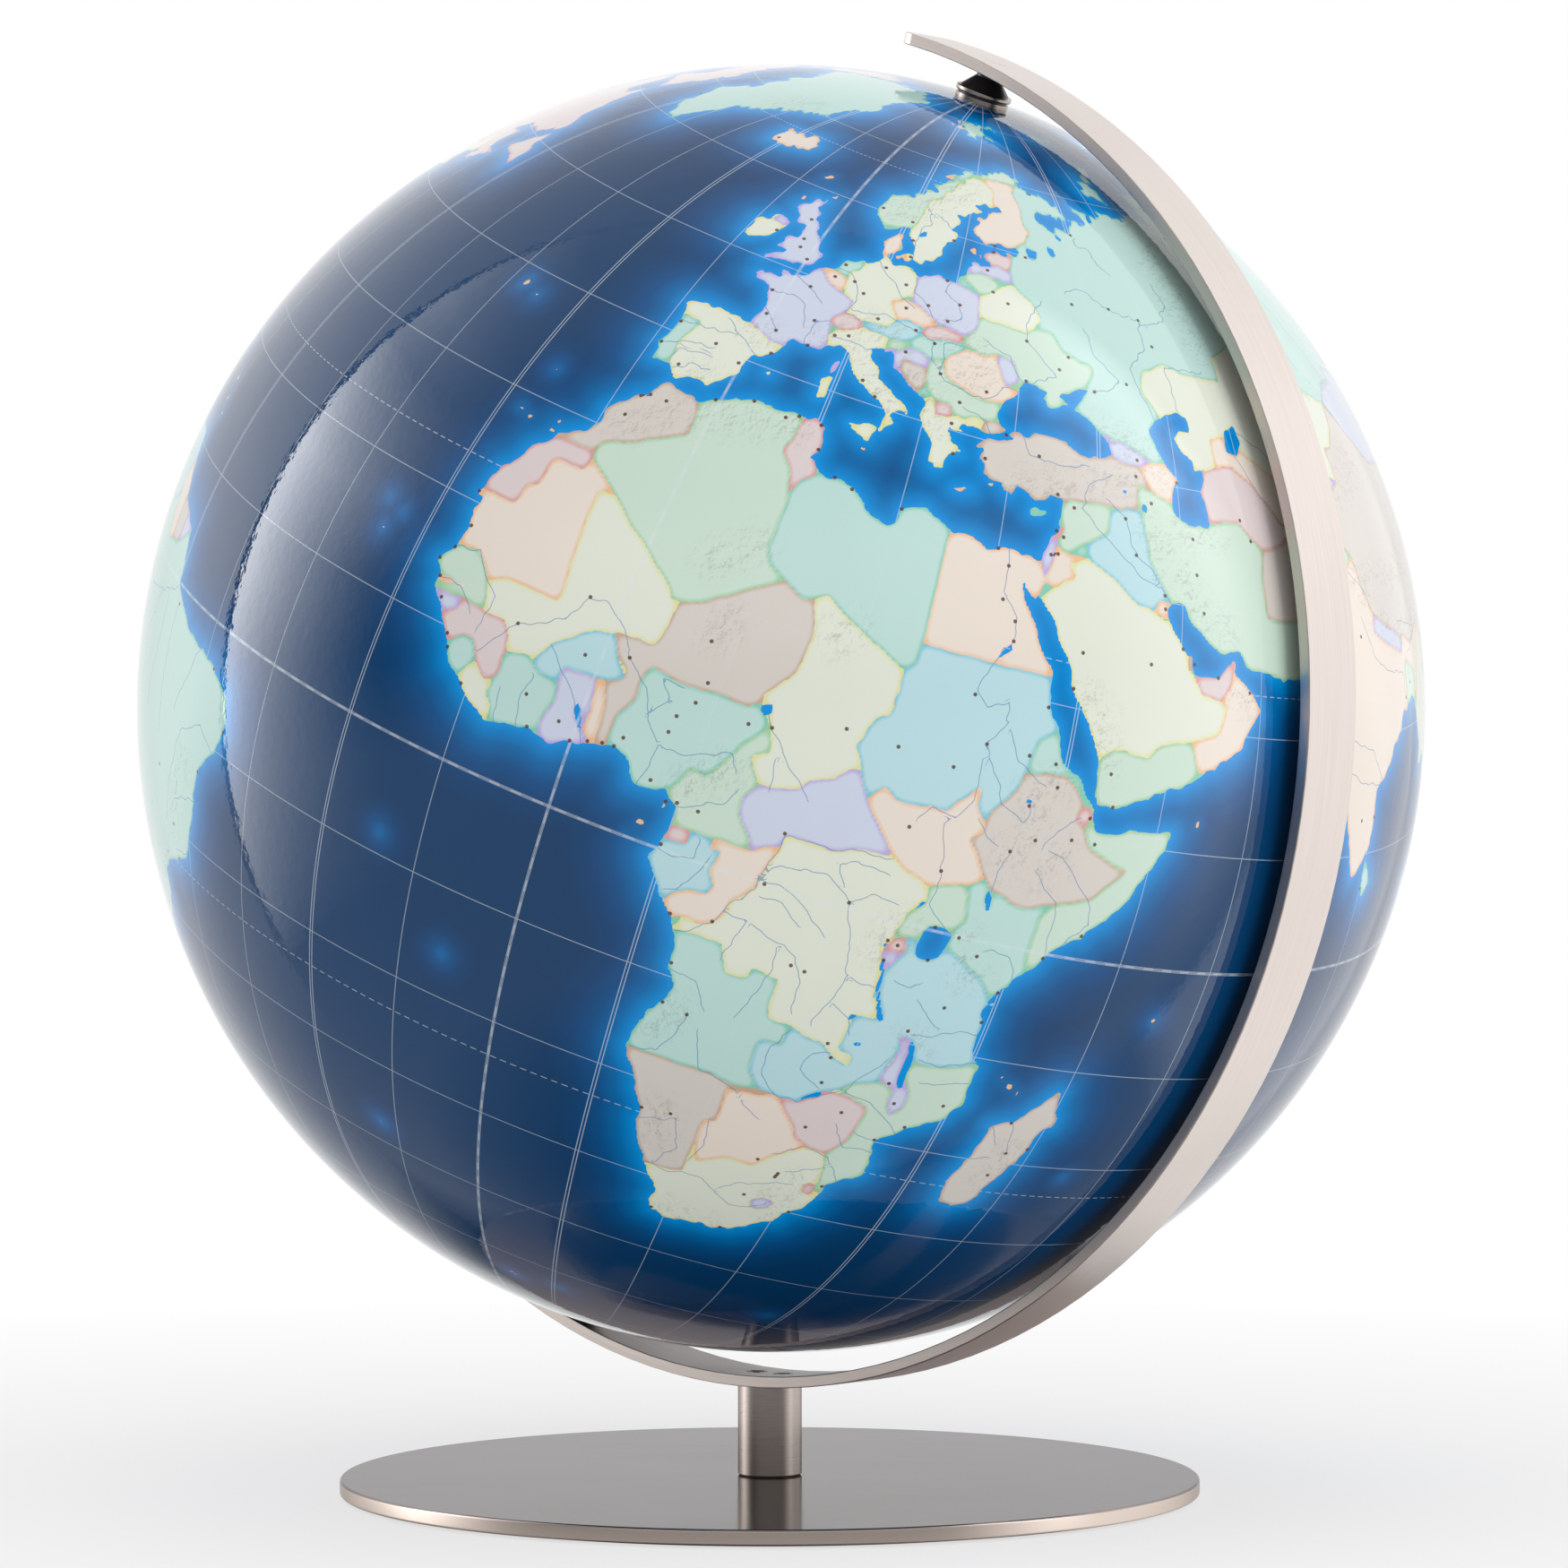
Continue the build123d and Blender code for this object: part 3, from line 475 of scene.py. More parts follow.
islets = """
-16.6 28.3 -15.6 27.9 -14 28.4 -13.6 29 -17.9 28.7 -17 32.7 -25.5 37.8 -28.2 38.5 -25 17 -24.3 14.9
-23.3 15.1 -22.9 16.1 43.3 -11.7 44.4 -12.2 45.2 -12.8 55.5 -21.1 57.5 -20.3 55.5 -4.7 6.6 0.3 7.4 1.6
8.7 3.5 53.9 12.5 39.4 -6.1 39.8 -5.2 -5.7 -15.9 -14.4 -7.9 27.9 36.2 26.3 39.2 25.4 37.1 -1.2 60.4 -3 59
-7 58.2 -7 62 18.5 57.4 22.6 58.4 73.5 4.2 92.8 12.3 -59 -51.8 -58 -51.7 -36.7 -54.3 69.4 -49.4 37.8 -46.9
-12.3 -37.1 3.4 -54.4 72.4 -7.3 10.6 -54 -61 14.6 -61.5 16.2 -59.5 13.2 -66.4 18.2 -77.4 18.1 -77.8 24.5
-155.5 19.6 -149.5 -17.6 178 -17.8 165.5 -21.3 160 -9.3 152 -5.2 -90.6 -0.5 129.3 -3.1 128 0.9 126 -9
14.6 36 14.6 68.1 11.1 79 55.4 -20.9
"""

countries = """
n -13.2 27.7 -8.7 27.7 -8.7 28.7 -6 29.6 -3.7 30.9 -1.3 32.1 -1.7 34 -2.2 36 -7 37 -13 30
r -13.2 27.7 -8.7 27.7 -8.7 26 -12 26 -12 23.4 -13 23 -13.1 21.3 -17 21.3 -18 20.6 -18 24
p -8.7 27.3 -4.8 25 -6.6 25 -5.5 16.5 -5.5 15.5 -9.2 15.5 -10.7 15.4 -12.2 14.8 -13.4 16.1 -14.5 16.6
  -18 16.1 -18 20.8 -17 20.8 -17 21.3 -13.1 21.3 -13 23 -12 23.4 -12 26 -8.7 26
g -2.2 36 -1.7 34 -1.3 32.1 -3.7 30.9 -6 29.6 -8.7 28.7 -8.7 27.3 -4.8 25 1.2 21.1 3.2 19.7 3.3 19
  4.2 19.1 5.8 19.5 12 23.5 10.3 24.5 9.4 26.2 9.9 26.5 9.8 28.3 9.9 29.4 9.6 30.3 9.1 32.1 7.5 33.8
  8.2 35 8.2 36.4 8.6 38 0 38
r 8.6 38 8.2 36.4 8.2 35 7.5 33.8 9.1 32.1 9.6 30.3 10.3 31.7 11.5 32.5 11.5 33.2 12 38
t 9.6 30.3 9.9 29.4 9.8 28.3 9.9 26.5 9.4 26.2 10.3 24.5 12 23.5 14.2 22.6 15 23 16 23.4 24 19.5 24 20
  25 20 25 29.2 24.9 30.5 25.2 34 11.5 34 11.5 32.5 10.3 31.7
p 25.2 33 24.9 30.5 25 29.2 25 22 36.9 22 36 25 34.2 27.6 34.9 29.5 34.2 31.3 33 33
c -4.8 25 1.2 21.1 3.2 19.7 3.3 19 4.2 19.1 4.2 16.9 3.9 15.7 3.5 15.3 0.2 14.9 -1 14.9 -2 14.2 -3.4 13.2
  -4.4 12.4 -5.3 11.8 -5.5 10.4 -6.2 10.6 -8 10.2 -8.3 11 -9.3 12.4 -11.4 12.4 -11.5 13 -12.2 14.8
  -10.7 15.4 -9.2 15.5 -5.5 15.5 -5.5 16.5 -6.6 25
n 4.2 19.1 5.8 19.5 12 23.5 14.2 22.6 15 23 15.9 20.4 15.5 16.9 13.5 14.4 13.6 13.7 12.5 13.1 10 13.2 7 13
  4.1 13.5 3.6 11.7 2.4 11.9 2.1 12.7 1 13.4 0.2 14.9 3.5 15.3 3.9 15.7 4.2 16.9
c 15 23 16 23.4 24 19.5 24 15.7 22.9 15.5 22.3 13.5 21.9 12.7 22.5 12 22.9 11 22 10.9 21 9.7 19.2 9
  18.6 8.1 17 7.7 15.5 7.5 13.9 9.6 15.5 10 15 12.1 14.1 13.1 13.5 14.4 15.5 16.9 15.9 20.4
b 25 22 25 20 24 20 24 15.7 22.9 15.5 22.3 13.5 21.9 12.7 22.5 12 22.9 11 24.1 8.8 25 10.3 26.5 9.5
  27.9 9.6 30.8 9.7 31.3 10.5 32.4 11.7 33.1 12.2 33.1 10.7 34 9.5 34.3 10.6 35 11.3 36.1 12.7 36.4 14.2
  37 17 38.6 18 38.5 20 36.9 22
t 36.4 14.2 37.6 14.2 38.5 14.5 40 14.5 41.2 13.8 42.4 12.5 43.2 12.7 41 16.5 38.6 18 37 17
n 36.4 14.2 37.6 14.2 38.5 14.5 40 14.5 41.2 13.8 42.4 12.5 41.8 11.6 41.8 11 42.8 10.9 43.2 9.9 44 9 47 8
  48 8 45 5 42 4.2 39.5 3.4 38.1 3.6 36 4.4 35.3 5 34 7.2 33 7.9 34.1 8.6 34 9.5 34.3 10.6 35 11.3
  36.1 12.7
r 42.4 12.5 43.4 12.7 43.4 11.5 42.8 10.9 41.8 11 41.8 11.6
g 43.2 11.5 42.8 10.9 43.2 9.9 44 9 47 8 48 8 45 5 42 4.2 41 2.9 41 -0.9 41.6 -2.2 46 0 53 11 48 13
t 41.6 -2.2 41 -0.9 41 2.9 42 4.2 39.5 3.4 38.1 3.6 36 4.4 35.3 5 34 4.2 34.5 3.5 34.9 1.3 34 0.2 33.9 -1
  37.7 -3.1 39.2 -4.7 41 -4
g 34 4.2 34.5 3.5 34.9 1.3 34 0.2 33.9 -1 30.5 -1 29.6 -1.4 29.6 -0.6 30 0.7 31.2 2.2 30.9 3.5
p 24.1 8.8 25 10.3 26.5 9.5 27.9 9.6 30.8 9.7 31.3 10.5 32.4 11.7 33.1 12.2 33.1 10.7 34 9.5 34.1 8.6
  33 7.9 34 7.2 35.3 5 34 4.2 30.9 3.5 28.4 4.3 27.4 5.1
l 22.9 11 24.1 8.8 27.4 5.1 25.2 5 22.4 4.1 20.5 4.3 18.6 4.3 18.6 3.5 16.2 2.2 16.1 3 14.5 5 14.5 6.2
  15.5 7.5 17 7.7 18.6 8.1 19.2 9 21 9.7 22 10.9
g 14.1 13.1 15 12.1 15.5 10 13.9 9.6 15.5 7.5 14.5 6.2 14.5 5 16.1 3 16.2 2.2 9.5 2.2 8.4 4 8.6 4.8 10 7
  11.3 6.7 12.2 8.4 13.2 10.1 14.6 12.2
t 13.6 13.7 14.1 13.1 14.6 12.2 13.2 10.1 12.2 8.4 11.3 6.7 10 7 8.6 4.8 8 3.5 4 3.5 2.7 6.4 2.8 9
  3.8 10.7 3.6 11.7 4.1 13.5 7 13 10 13.2 12.5 13.1
r 9.3 2.2 11.4 2.2 11.4 1 9 1
b 11.4 2.2 13.3 2.2 13.2 1.3 14.3 1.4 13.9 -0.2 14.5 -1.5 14.2 -2.3 13 -2.4 11.6 -2.8 11 -4 8 -2 8.5 1
  11.4 1
p 13.3 2.2 16.2 2.2 18.6 3.5 17.9 0.5 17.7 -0.5 16.2 -2.2 16.2 -3.3 15.3 -4.3 14.4 -4.9 13 -4.6 12 -5
  10.5 -3.9 11 -4 11.6 -2.8 13 -2.4 14.2 -2.3 14.5 -1.5 13.9 -0.2 14.3 1.4 13.2 1.3
c 18.6 3.5 18.6 4.3 20.5 4.3 22.4 4.1 25.2 5 27.4 5.1 28.4 4.3 30.9 3.5 31.2 2.2 30 0.7 29.6 -0.6
  29.6 -1.4 29 -2.7 29.4 -4.5 29.4 -6 30.7 -8.3 28.9 -8.5 28.6 -9.5 28.4 -11.8 29.8 -12.2 29.8 -13.4
  28 -12.5 27 -11.7 25.4 -11.6 24 -10.9 22.2 -11.1 21.8 -9.5 21.8 -7.3 19.5 -7 19.4 -8 17.5 -8.1 16.6 -5.9
  13.2 -5.8 12 -6 12.4 -5.8 13 -4.6 14.4 -4.9 15.3 -4.3 16.2 -3.3 16.2 -2.2 17.7 -0.5 17.9 0.5
t 12 -6 13.2 -5.8 16.6 -5.9 17.5 -8.1 19.4 -8 19.5 -7 21.8 -7.3 21.8 -9.5 22.2 -11.1 24 -10.9 24 -13
  22 -13 22 -16.2 23.4 -17.6 21.4 -17.9 18.5 -17.4 14 -17.4 11 -17.3 10 -12
t 12 -5 13 -4.6 12.4 -5.8 11.5 -5.8
b 24 -13 22 -13 22 -16.2 23.4 -17.6 25.2 -17.8 27 -17.9 28.8 -16 30.3 -15.6 30.2 -15 33.2 -14 33 -12.5
  33.5 -10.6 32.9 -9.4 30.8 -8.4 28.9 -8.5 28.6 -9.5 28.4 -11.8 29.8 -12.2 29.8 -13.4 28 -12.5 27 -11.7
  25.4 -11.6 24 -10.9
b 30.5 -1 33.9 -1 37.7 -3.1 39.2 -4.7 41 -5 41 -10.5 38.5 -11.4 36.2 -11.7 34.9 -11.5 34 -9.5 32.9 -9.4
  30.8 -8.4 29.5 -6.5 29.4 -4.5 30.5 -3.3 30.8 -2.3
r 29 -2.7 29.6 -1.4 30.5 -1 30.9 -2.3 30 -2.6
l 29 -2.7 30 -2.6 30.8 -2.4 30.5 -3.4 29.4 -4.5
g 41 -10.5 38.5 -11.4 36.2 -11.7 34.9 -11.5 34.4 -12.2 35.8 -14.6 35.8 -16 35.1 -17.1 34.3 -15.8
  34.5 -14.6 33.2 -14 30.2 -15 30.4 -16 32.9 -16.7 32.9 -18.5 32.6 -20.5 31.3 -22.4 31.9 -24 32 -25.7
  32.1 -26.8 34 -26.8 42 -15
l 32.9 -9.4 34 -9.5 34.9 -11.5 34.4 -12.2 35.8 -14.6 35.8 -16 35.1 -17.1 34.3 -15.8 34.5 -14.6 32.7 -13.7
  33.2 -12.4 33.5 -10.6
n 11 -17.3 14 -17.4 18.5 -17.4 21.4 -17.9 23.4 -17.6 25.2 -17.8 23.5 -18.2 21 -18.3 21 -22 20 -22 20 -28.4
  17.5 -28.7 15 -28.7 11 -20
p 25.2 -17.8 27.7 -20.5 28 -21.5 29.4 -22.2 27.5 -23.5 26.5 -24.6 25.6 -25.6 23.5 -25.4 22.8 -25.5
  20.7 -26.9 20 -24.8 20 -22 21 -22 21 -18.3 23.5 -18.2
r 25.2 -17.8 27 -17.9 28.8 -16 30.4 -16 32.9 -16.7 32.9 -18.5 32.6 -20.5 31.3 -22.4 29.4 -22.2 28 -21.5
  27.7 -20.5
l 27 -29.7 28 -28.8 29.4 -29.3 28.7 -30.1 27.5 -30.6
r 30.8 -26.5 31.3 -25.8 32.1 -26.2 32 -27.2 31 -27.2
g -18 16.1 -14.5 16.6 -13.4 16.1 -12.2 14.8 -11.5 13 -11.4 12.4 -18 12.3
p -18 13.6 -13.8 13.6 -13.8 13.3 -18 13
l -18 12.3 -13.7 12.6 -13.7 11.7 -15.1 10.9 -17 10.5
r -13.7 12.6 -11.4 12.4 -9.3 12.4 -8.3 11 -8 10.2 -8.1 9.4 -7.9 8.5 -8.3 7.6 -9.2 7.4 -10.3 8.5 -11.2 10
  -12.5 9.9 -13.3 9 -15 9 -15.1 10.9 -13.7 11.7
t -14 9 -13.3 9 -12.5 9.9 -11.2 10 -10.3 8.5 -11.4 6.9 -12 6
c -12 6 -11.4 6.9 -10.3 8.5 -9.4 7.4 -8.4 7.6 -8.4 6.5 -7.5 5.8 -7.5 4
t -7.5 4 -7.5 5.8 -8.4 6.5 -8.3 7.6 -7.9 8.5 -8 10.2 -6.2 10.6 -5.5 10.4 -4.6 9.7 -2.8 9.6 -2.5 8.2
  -3.2 6.3 -2.9 4.5
l -2.9 4.5 -3.2 6.3 -2.5 8.2 -2.8 9.6 -2.8 11 0 11.1 0.4 10.3 0.6 8.5 0.5 6.9 1.2 6.1 1.2 4.5
b -5.5 10.4 -4.4 12.4 -3.4 13.2 -2 14.2 0.2 14.9 1 13.4 2.4 11.9 0.9 11 -2.8 11 -2.8 9.6 -4.6 9.7
p 1.2 5 1.2 6.1 0.5 6.9 0.6 8.5 0 11.1 0.9 11 1.6 9.1 1.7 5
n 1.7 5 1.6 9.1 0.9 11 2.4 11.9 3.6 11.7 3.8 10.7 2.8 9 2.7 5
l -1.8 43.4 0.7 42.7 3.2 42.4 7.6 43.7 7 45 6.8 46 7.6 47.6 8.2 49 6.4 49.5 4.2 50 2.5 51.1 -5.5 49.5
  -5 47 -2 45
c -1.8 43.4 0.7 42.7 3.2 42.4 4.6 40 0 36 -5.6 35.9 -7.4 37 -7 38.2 -7.3 39.5 -6.8 41 -6.3 41.6 -8.2 42
  -10 42 -10 44 -4 44
t -7.4 37 -7 38.2 -7.3 39.5 -6.8 41 -6.3 41.6 -8.2 42 -9.5 42 -10 39 -9.5 36.6
c 6.1 50 6 51.8 7 52.3 7 53.8 8.5 54.9 9.5 54.8 11 54.6 14.3 54 14.7 51.5 12.2 50.3 13.8 48.7 13 47.6
  10 47.4 7.6 47.6 8.2 49 6.4 49.5
l 14.3 54 14.7 51.5 15 51 18.8 49.5 22.7 49.2 24 50.6 23.6 52.6 23.5 54 19.8 54.4 18 55
c 7.6 43.7 7 45 7.8 45.9 9 46 10.4 46.7 12.3 46.9 13.7 46.5 13.8 45.6 14 44 19 40 16.5 37 15.5 38.4
  11.5 41 9.8 42.5
g 11.2 58.9 11.8 61 12.3 63.5 14.2 64.6 16.2 67 18.2 68.5 20.5 69.1 25.8 69.7 29 69.8 31.5 70.4 26 72 4 63
  4 58
c 11.2 58.9 11.8 61 12.3 63.5 14.2 64.6 16.2 67 18.2 68.5 20.5 69.1 23.7 67.9 24.1 65.8 20 62 19.5 58
  14 55 12.2 55.3 11.5 57
p 20.5 69.1 25.8 69.7 28.8 69.6 28.5 68.2 30 66 31.5 62.9 28 60.5 22 59.5 20 62 24.1 65.8 23.7 67.9
p 7.5 54.9 9.5 54.8 9.9 54.8 10.8 57.9 9 58 7.5 57
r 24.3 57.9 27.5 57.5 28.2 59.6 23 59.8 21.5 58
l 20.5 56.1 24.5 56.3 28.2 56.1 27.5 57.5 24.3 57.9 21 58.2
g 20.5 55.3 22.8 54.4 24 54 26.6 55.6 24.5 56.3 20.5 56.1
c 23.6 51.6 23.5 53.9 24 54 26.6 55.6 28.2 56.1 31 54.8 32.5 53.3 31.8 52.1 30.6 51.4
g 22.2 48.4 24 50.6 23.6 51.6 30.6 51.4 31.8 52.1 34 52 35.5 50.4 40 49.6 38.3 47.2 37 46 36.6 45.2 33 44
  30 45.4 28.2 45.4 30 46.4 29 48 26.6 48.3 24.9 47.7
l 26.6 48.3 29 48 30 46.4 28.2 45.4
p 20.3 46.1 22.9 48 24.9 47.7 26.6 48.3 28.2 45.4 30 45.2 28.6 43.7 25.5 43.6 22.7 44.2 21.4 44.8
g 22.7 44.2 25.5 43.6 28.6 43.7 28.2 42 26.3 41.7 23 41.3 22.4 42.3
c 20 39.7 21 40.9 23 41.3 26.3 41.7 26 40.6 25 37 22 35.5 20 38
c 19 42 20.5 42.3 21 40.9 20 39.7 19 40.5
r 20.5 42 22.4 42.3 23 41.3 21 40.9
g 19 45.9 20.3 46.1 21.4 44.8 22.7 44.2 22.4 42.3 20.5 42 19.2 43.5 19 44.9
n 15.8 45.2 19 44.9 19.2 43.5 18.5 42.5 16 44
l 13.4 45.2 15.7 46.2 16.5 46.4 18.9 45.9 19 44.9 15.8 45.2 16 44 18.5 42.4 14 44
g 13.6 45.5 13.5 46.5 16.4 46.8 15.6 45.8
t 16.1 46.9 17.1 48 20 48.2 22.2 48.4 22.9 48 20.3 46.1 18.9 45.9 16.5 46.4
r 17 48 18 49.2 20 49.3 22.5 49.1 22.2 48.4 20 48.2 18 47.8
p 12.2 50.3 14.4 51 16.3 50.5 18.8 49.5 17 48.7 15 49 13.8 48.7
b 9.6 47.4 13 47.6 13.8 48.7 15 49 17 48.7 17.1 48 16.1 46.9 13.7 46.5 10.4 46.8
r 6.1 46.3 7.6 47.6 9.6 47.5 10.4 46.7 9 46 7 45.9
p 2.5 51.1 4.2 50 5.8 49.5 6.2 50.5 5.8 51.1 4.3 51.4 3.4 51.4
t 3.4 51.4 4.3 51.4 5.8 51.1 6 51.8 7 52.3 7.1 53.6 4.6 53.3 3.5 52
l -8.1 54.4 -6.2 54 -5.3 54.7 -7.3 55.3
n 26 40 26.3 41.7 28 42 32 42.5 41.5 41.5 43.5 41.1 44.8 39.7 44.4 38 44.8 37.2 42.4 37.1 36.7 36.8
  35.8 35.8 30 35.8 26 37
l 40 43.5 44 42.7 46.7 41.8 46.5 41.1 43.5 41.1 41.5 41.5
p 46.7 41.8 48.6 41.9 50.5 40.3 48.9 38.4 46.5 39 45 41
n 43.5 41.1 45 41.2 46.5 39 44.8 39.7
g 44.8 39.7 46.5 39 48.9 38.4 54 37.3 58 37.8 61.2 35.6 60.6 33.7 61 29.8 63.2 27.2 61.6 25 57 25 51 27.5
  48.5 30 47.7 31 46 33 45.4 35.9 44.4 38
b 42.4 37.1 44.8 37.2 45.4 35.9 46 33 47.7 31 48.6 29.9 47.2 30 46.5 29.1 44.7 29.2 42 31.1 39.2 32.1
  38.8 33.4 41.2 34.8 41.3 36.6
g 35.5 35.8 36.7 36.8 42.4 37.1 41.3 36.6 41.2 34.8 38.8 33.4 36.8 32.3 35.7 32.8 36 34.6
r 35 33.1 36 34.6 36.5 34.2 35.7 33.2
l 34.2 31.3 35 33.1 35.7 33.2 35.7 32.8 35.5 31.5 34.9 29.5
p 35.7 32.8 36.8 32.3 39.2 32.1 37 31.5 38 30.5 36 29.2 34.9 29.4 35.5 31.5
c 34.6 28 36 29.2 38 30.5 37 31.5 39.2 32.1 42 31.1 44.7 29.2 46.5 29.1 47.5 28.5 48.8 28.4 50.5 26.5
  50.8 24.8 51.6 24.2 52.6 22.9 55.2 22.7 55.7 22 55 20 52 19 49 18.6 47.5 17.1 44 17.4 42.8 16.4 40 17
  36 24
g 42.4 16.4 42.8 16.4 44 17.4 47.5 17.1 49 18.6 52 19 53.1 16.6 50 13 43 12
p 53.1 16.6 52 19 55 20 55.7 22 55.2 22.7 56 24.1 56.5 26.5 60.5 22.5 57 17
r 51.6 24.2 52.6 22.9 55.2 22.7 56 24.1 56.4 26.2 54 25.5
n 50.8 24.8 51.6 24.5 51.8 26.3 50.7 26.3
p 46.5 29.1 47.2 30 48.6 30 48.5 28.5
c 49 45.8 46.7 48.4 47 50 51 51.5 55 50.8 61 50.8 61.5 53 69 55.4 71 54.2 76 54.2 80 50.9 87.3 49.1
  85.5 47.1 82.5 45.2 80.2 45 80.2 42.2 74 43.2 71 42.6 68 41 66 42 61 44.3 58.6 45.5 56 45 56 41.3
  52.5 41.8
p 56 41.3 56 45 58.6 45.5 61 44.3 66 42 68 41 71 41 73 40.7 70 40 68 39.5 68 37.3 66.5 37.4 64 39
  61.5 41.3 58.5 42.7
r 52.5 41.8 54 42 58.5 42.7 61.5 41.3 64 39 66.5 37.4 64.5 36.3 61.2 35.6 58 37.8 53 37.3
l 70 40 73 40.7 71 42.6 74 43.2 80.2 42.2 74 39.5
g 68 37.3 68 39.5 70 40 73.7 39.5 75 37.4 71.5 36.7
n 61.2 35.6 64.5 36.3 68 37.3 71.5 36.7 74.9 37.3 71.5 36 70 33.5 69.3 31.9 66.3 29.8 61 29.8 60.6 33.7
g 61 29.8 66.3 29.8 69.3 31.9 70 33.5 71.5 36 75 37 78 35.5 74.5 33 74.5 31 71 27.9 71 24.5 68 23.5 66 24
  61.6 24.8 63.2 27.2
p 68 23.5 71 24.5 71 27.9 74.5 31 74.5 33 78 35.5 79 32.5 81 30.2 80.2 28.8 88.1 26.4 88.8 28 92 27
  97.3 28.2 94.5 25 93 22 91.2 24 89 26 88.5 24.5 89 21 79 8.6 76 6 67.5 22
l 80.2 28.8 81 30.2 88.1 27.9 88.1 26.4
g 88.5 24.5 89 26 92.3 24.5 92.6 21 89 21.3
n 73.7 39.5 80.2 42.2 80.2 45 82.5 45.2 85.5 47.1 87.3 49.1 91 46 96 42.7 105 41.6 111.5 43.7 115.5 47.7
  119.8 46.7 116.7 49.9 119.8 50.2 121 53.3 125 53 127.5 50 131 47.7 134.7 48.3 133 45 131 43 130.6 42.4
  124.3 40 122 36.5 124 30 118 22 111 20.5 108 21.5 105 23.3 102 22.4 101 21.6 98 24 98.6 25 97.3 28.2
  92 27 88.8 28 88.1 27.9 81 30.2 79 32.5 78 35.5 75 37
l 87.8 49.2 92 50.7 98 50.6 98 52 102 51.3 107 49.7 113 49.6 116.7 49.9 119.8 46.7 115.5 47.7 111.5 43.7
  105 41.6 96 42.7 91 46
t 124.3 40 130.6 42.4 128.4 38.6 126 37.8 124 38
p 126 37.8 128.4 38.6 130 36 127 34 125.5 35
c 92.6 21 94.5 25 97.3 28.2 98.6 25 98 24 101 21.6 98 18 98.5 15 99.5 11.7 98.5 9.8 94 15
t 98 18 100.1 20.3 101 17.5 104.8 16.5 105.5 14.3 102.5 13 102.7 11.8 101 6 99.8 6.5 98 8 99.5 11.7
  98.5 15
l 100.1 20.3 102 22.4 105 18.8 107.5 14.4 105.5 14.3 104.8 16.5 101 17.5
p 102.5 13 105.5 14.3 107.5 14.4 107.5 12.3 104.5 10.4 102.7 11.8
g 102 22.4 105 23.3 108 21.5 110 13 105 8 104.5 10.4 107.5 12.3 107.5 14.4 105 18.8
p 99.8 6.5 101 6 102 6.5 105 1 103 1 100 4
t 131 0.5 141 -2.5 141 -9.3 130 -9
c -123 49 -95 49 -89.5 48 -84.5 46.4 -82.5 45.3 -82.5 42 -79 43 -74.7 45 -71.5 45 -69 47.4 -67 44.8 -65 40
  -79 24.5 -97.2 25.9 -99.5 27.5 -101 29.5 -104.5 29.6 -106.5 31.8 -111 31.3 -114.8 32.5 -117.2 32.5
  -126 40 -126 48.4
c -141 72 -141 60 -135 59 -130 55.5 -138 57 -170 52 -170 72
g -117.2 32.5 -114.8 32.5 -111 31.3 -106.5 31.8 -104.5 29.6 -101 29.5 -99.5 27.5 -97.2 25.9 -86 22
  -89.2 17.9 -91 17.8 -92.2 14.5 -106 18 -118 29
p -92.2 14.5 -91 17.8 -89.2 17.9 -88 16 -83 15.5 -87 12.5
l -87 12.5 -83 15.5 -83 11 -85.8 11
t -85.8 11 -83.5 11 -77.2 8.8 -78 7 -83 8
r -77.4 9 -72.5 12.5 -71.3 12 -73 9.2 -72.4 7.4 -67.5 6.2 -67 1.2 -69.8 1.7 -69.9 -4.3 -75 -0.2 -77.5 0.5
  -79 1.5 -78 7
b -71.3 12.5 -73 9.2 -72.4 7.4 -67.5 6.2 -67 1.2 -63.4 2.2 -64 4 -61 4.4 -60 8.8 -62 11.5
p -60 8.8 -61.3 6 -60 5 -58.8 1.5 -57 2 -57.2 6.4
n -57.2 6.4 -57 2 -54.5 2.3 -54 6.4
l -54 6.4 -54.5 2.3 -51.6 4.2 -52 6
c -82 1.5 -79 1.5 -77.5 0.5 -75 -0.2 -78.5 -4 -80.3 -3.4 -82 -3
p -81.5 -3.4 -80.3 -3.4 -78.5 -4 -75 -0.2 -69.9 -4.3 -73 -7.3 -70.6 -9.5 -69.5 -11 -69 -15 -69.5 -17.6
  -72 -19 -82 -7
t -69.5 -11 -65.3 -10 -60 -13.7 -60.2 -16.2 -57.8 -18 -58.2 -20 -62.2 -20.6 -62.6 -22.2 -67 -23 -68 -20
  -69.5 -17.6 -69 -15
l -62.6 -22.2 -62.2 -20.6 -58.2 -20 -58 -22 -54.3 -24 -54.6 -25.6 -58.6 -27.3
c -54.6 -25.6 -58.6 -27.3 -62.6 -22.2 -67 -22.5 -68.4 -24.5 -69.8 -30 -70.4 -36 -71.8 -44 -72.3 -50.5
  -68.5 -52.3 -68.6 -55 -62 -55 -56 -37 -58.4 -34 -57.6 -30.2
r -70 -17.6 -69.5 -17.6 -68 -20 -67 -23 -68.4 -24.5 -69.8 -30 -70.4 -36 -71.8 -44 -72.3 -50.5 -68.5 -52.3
  -68.6 -55.8 -77 -54 -76 -40 -72 -17
p -57.6 -30.2 -53.4 -33.8 -55 -35.5 -58.4 -34
"""

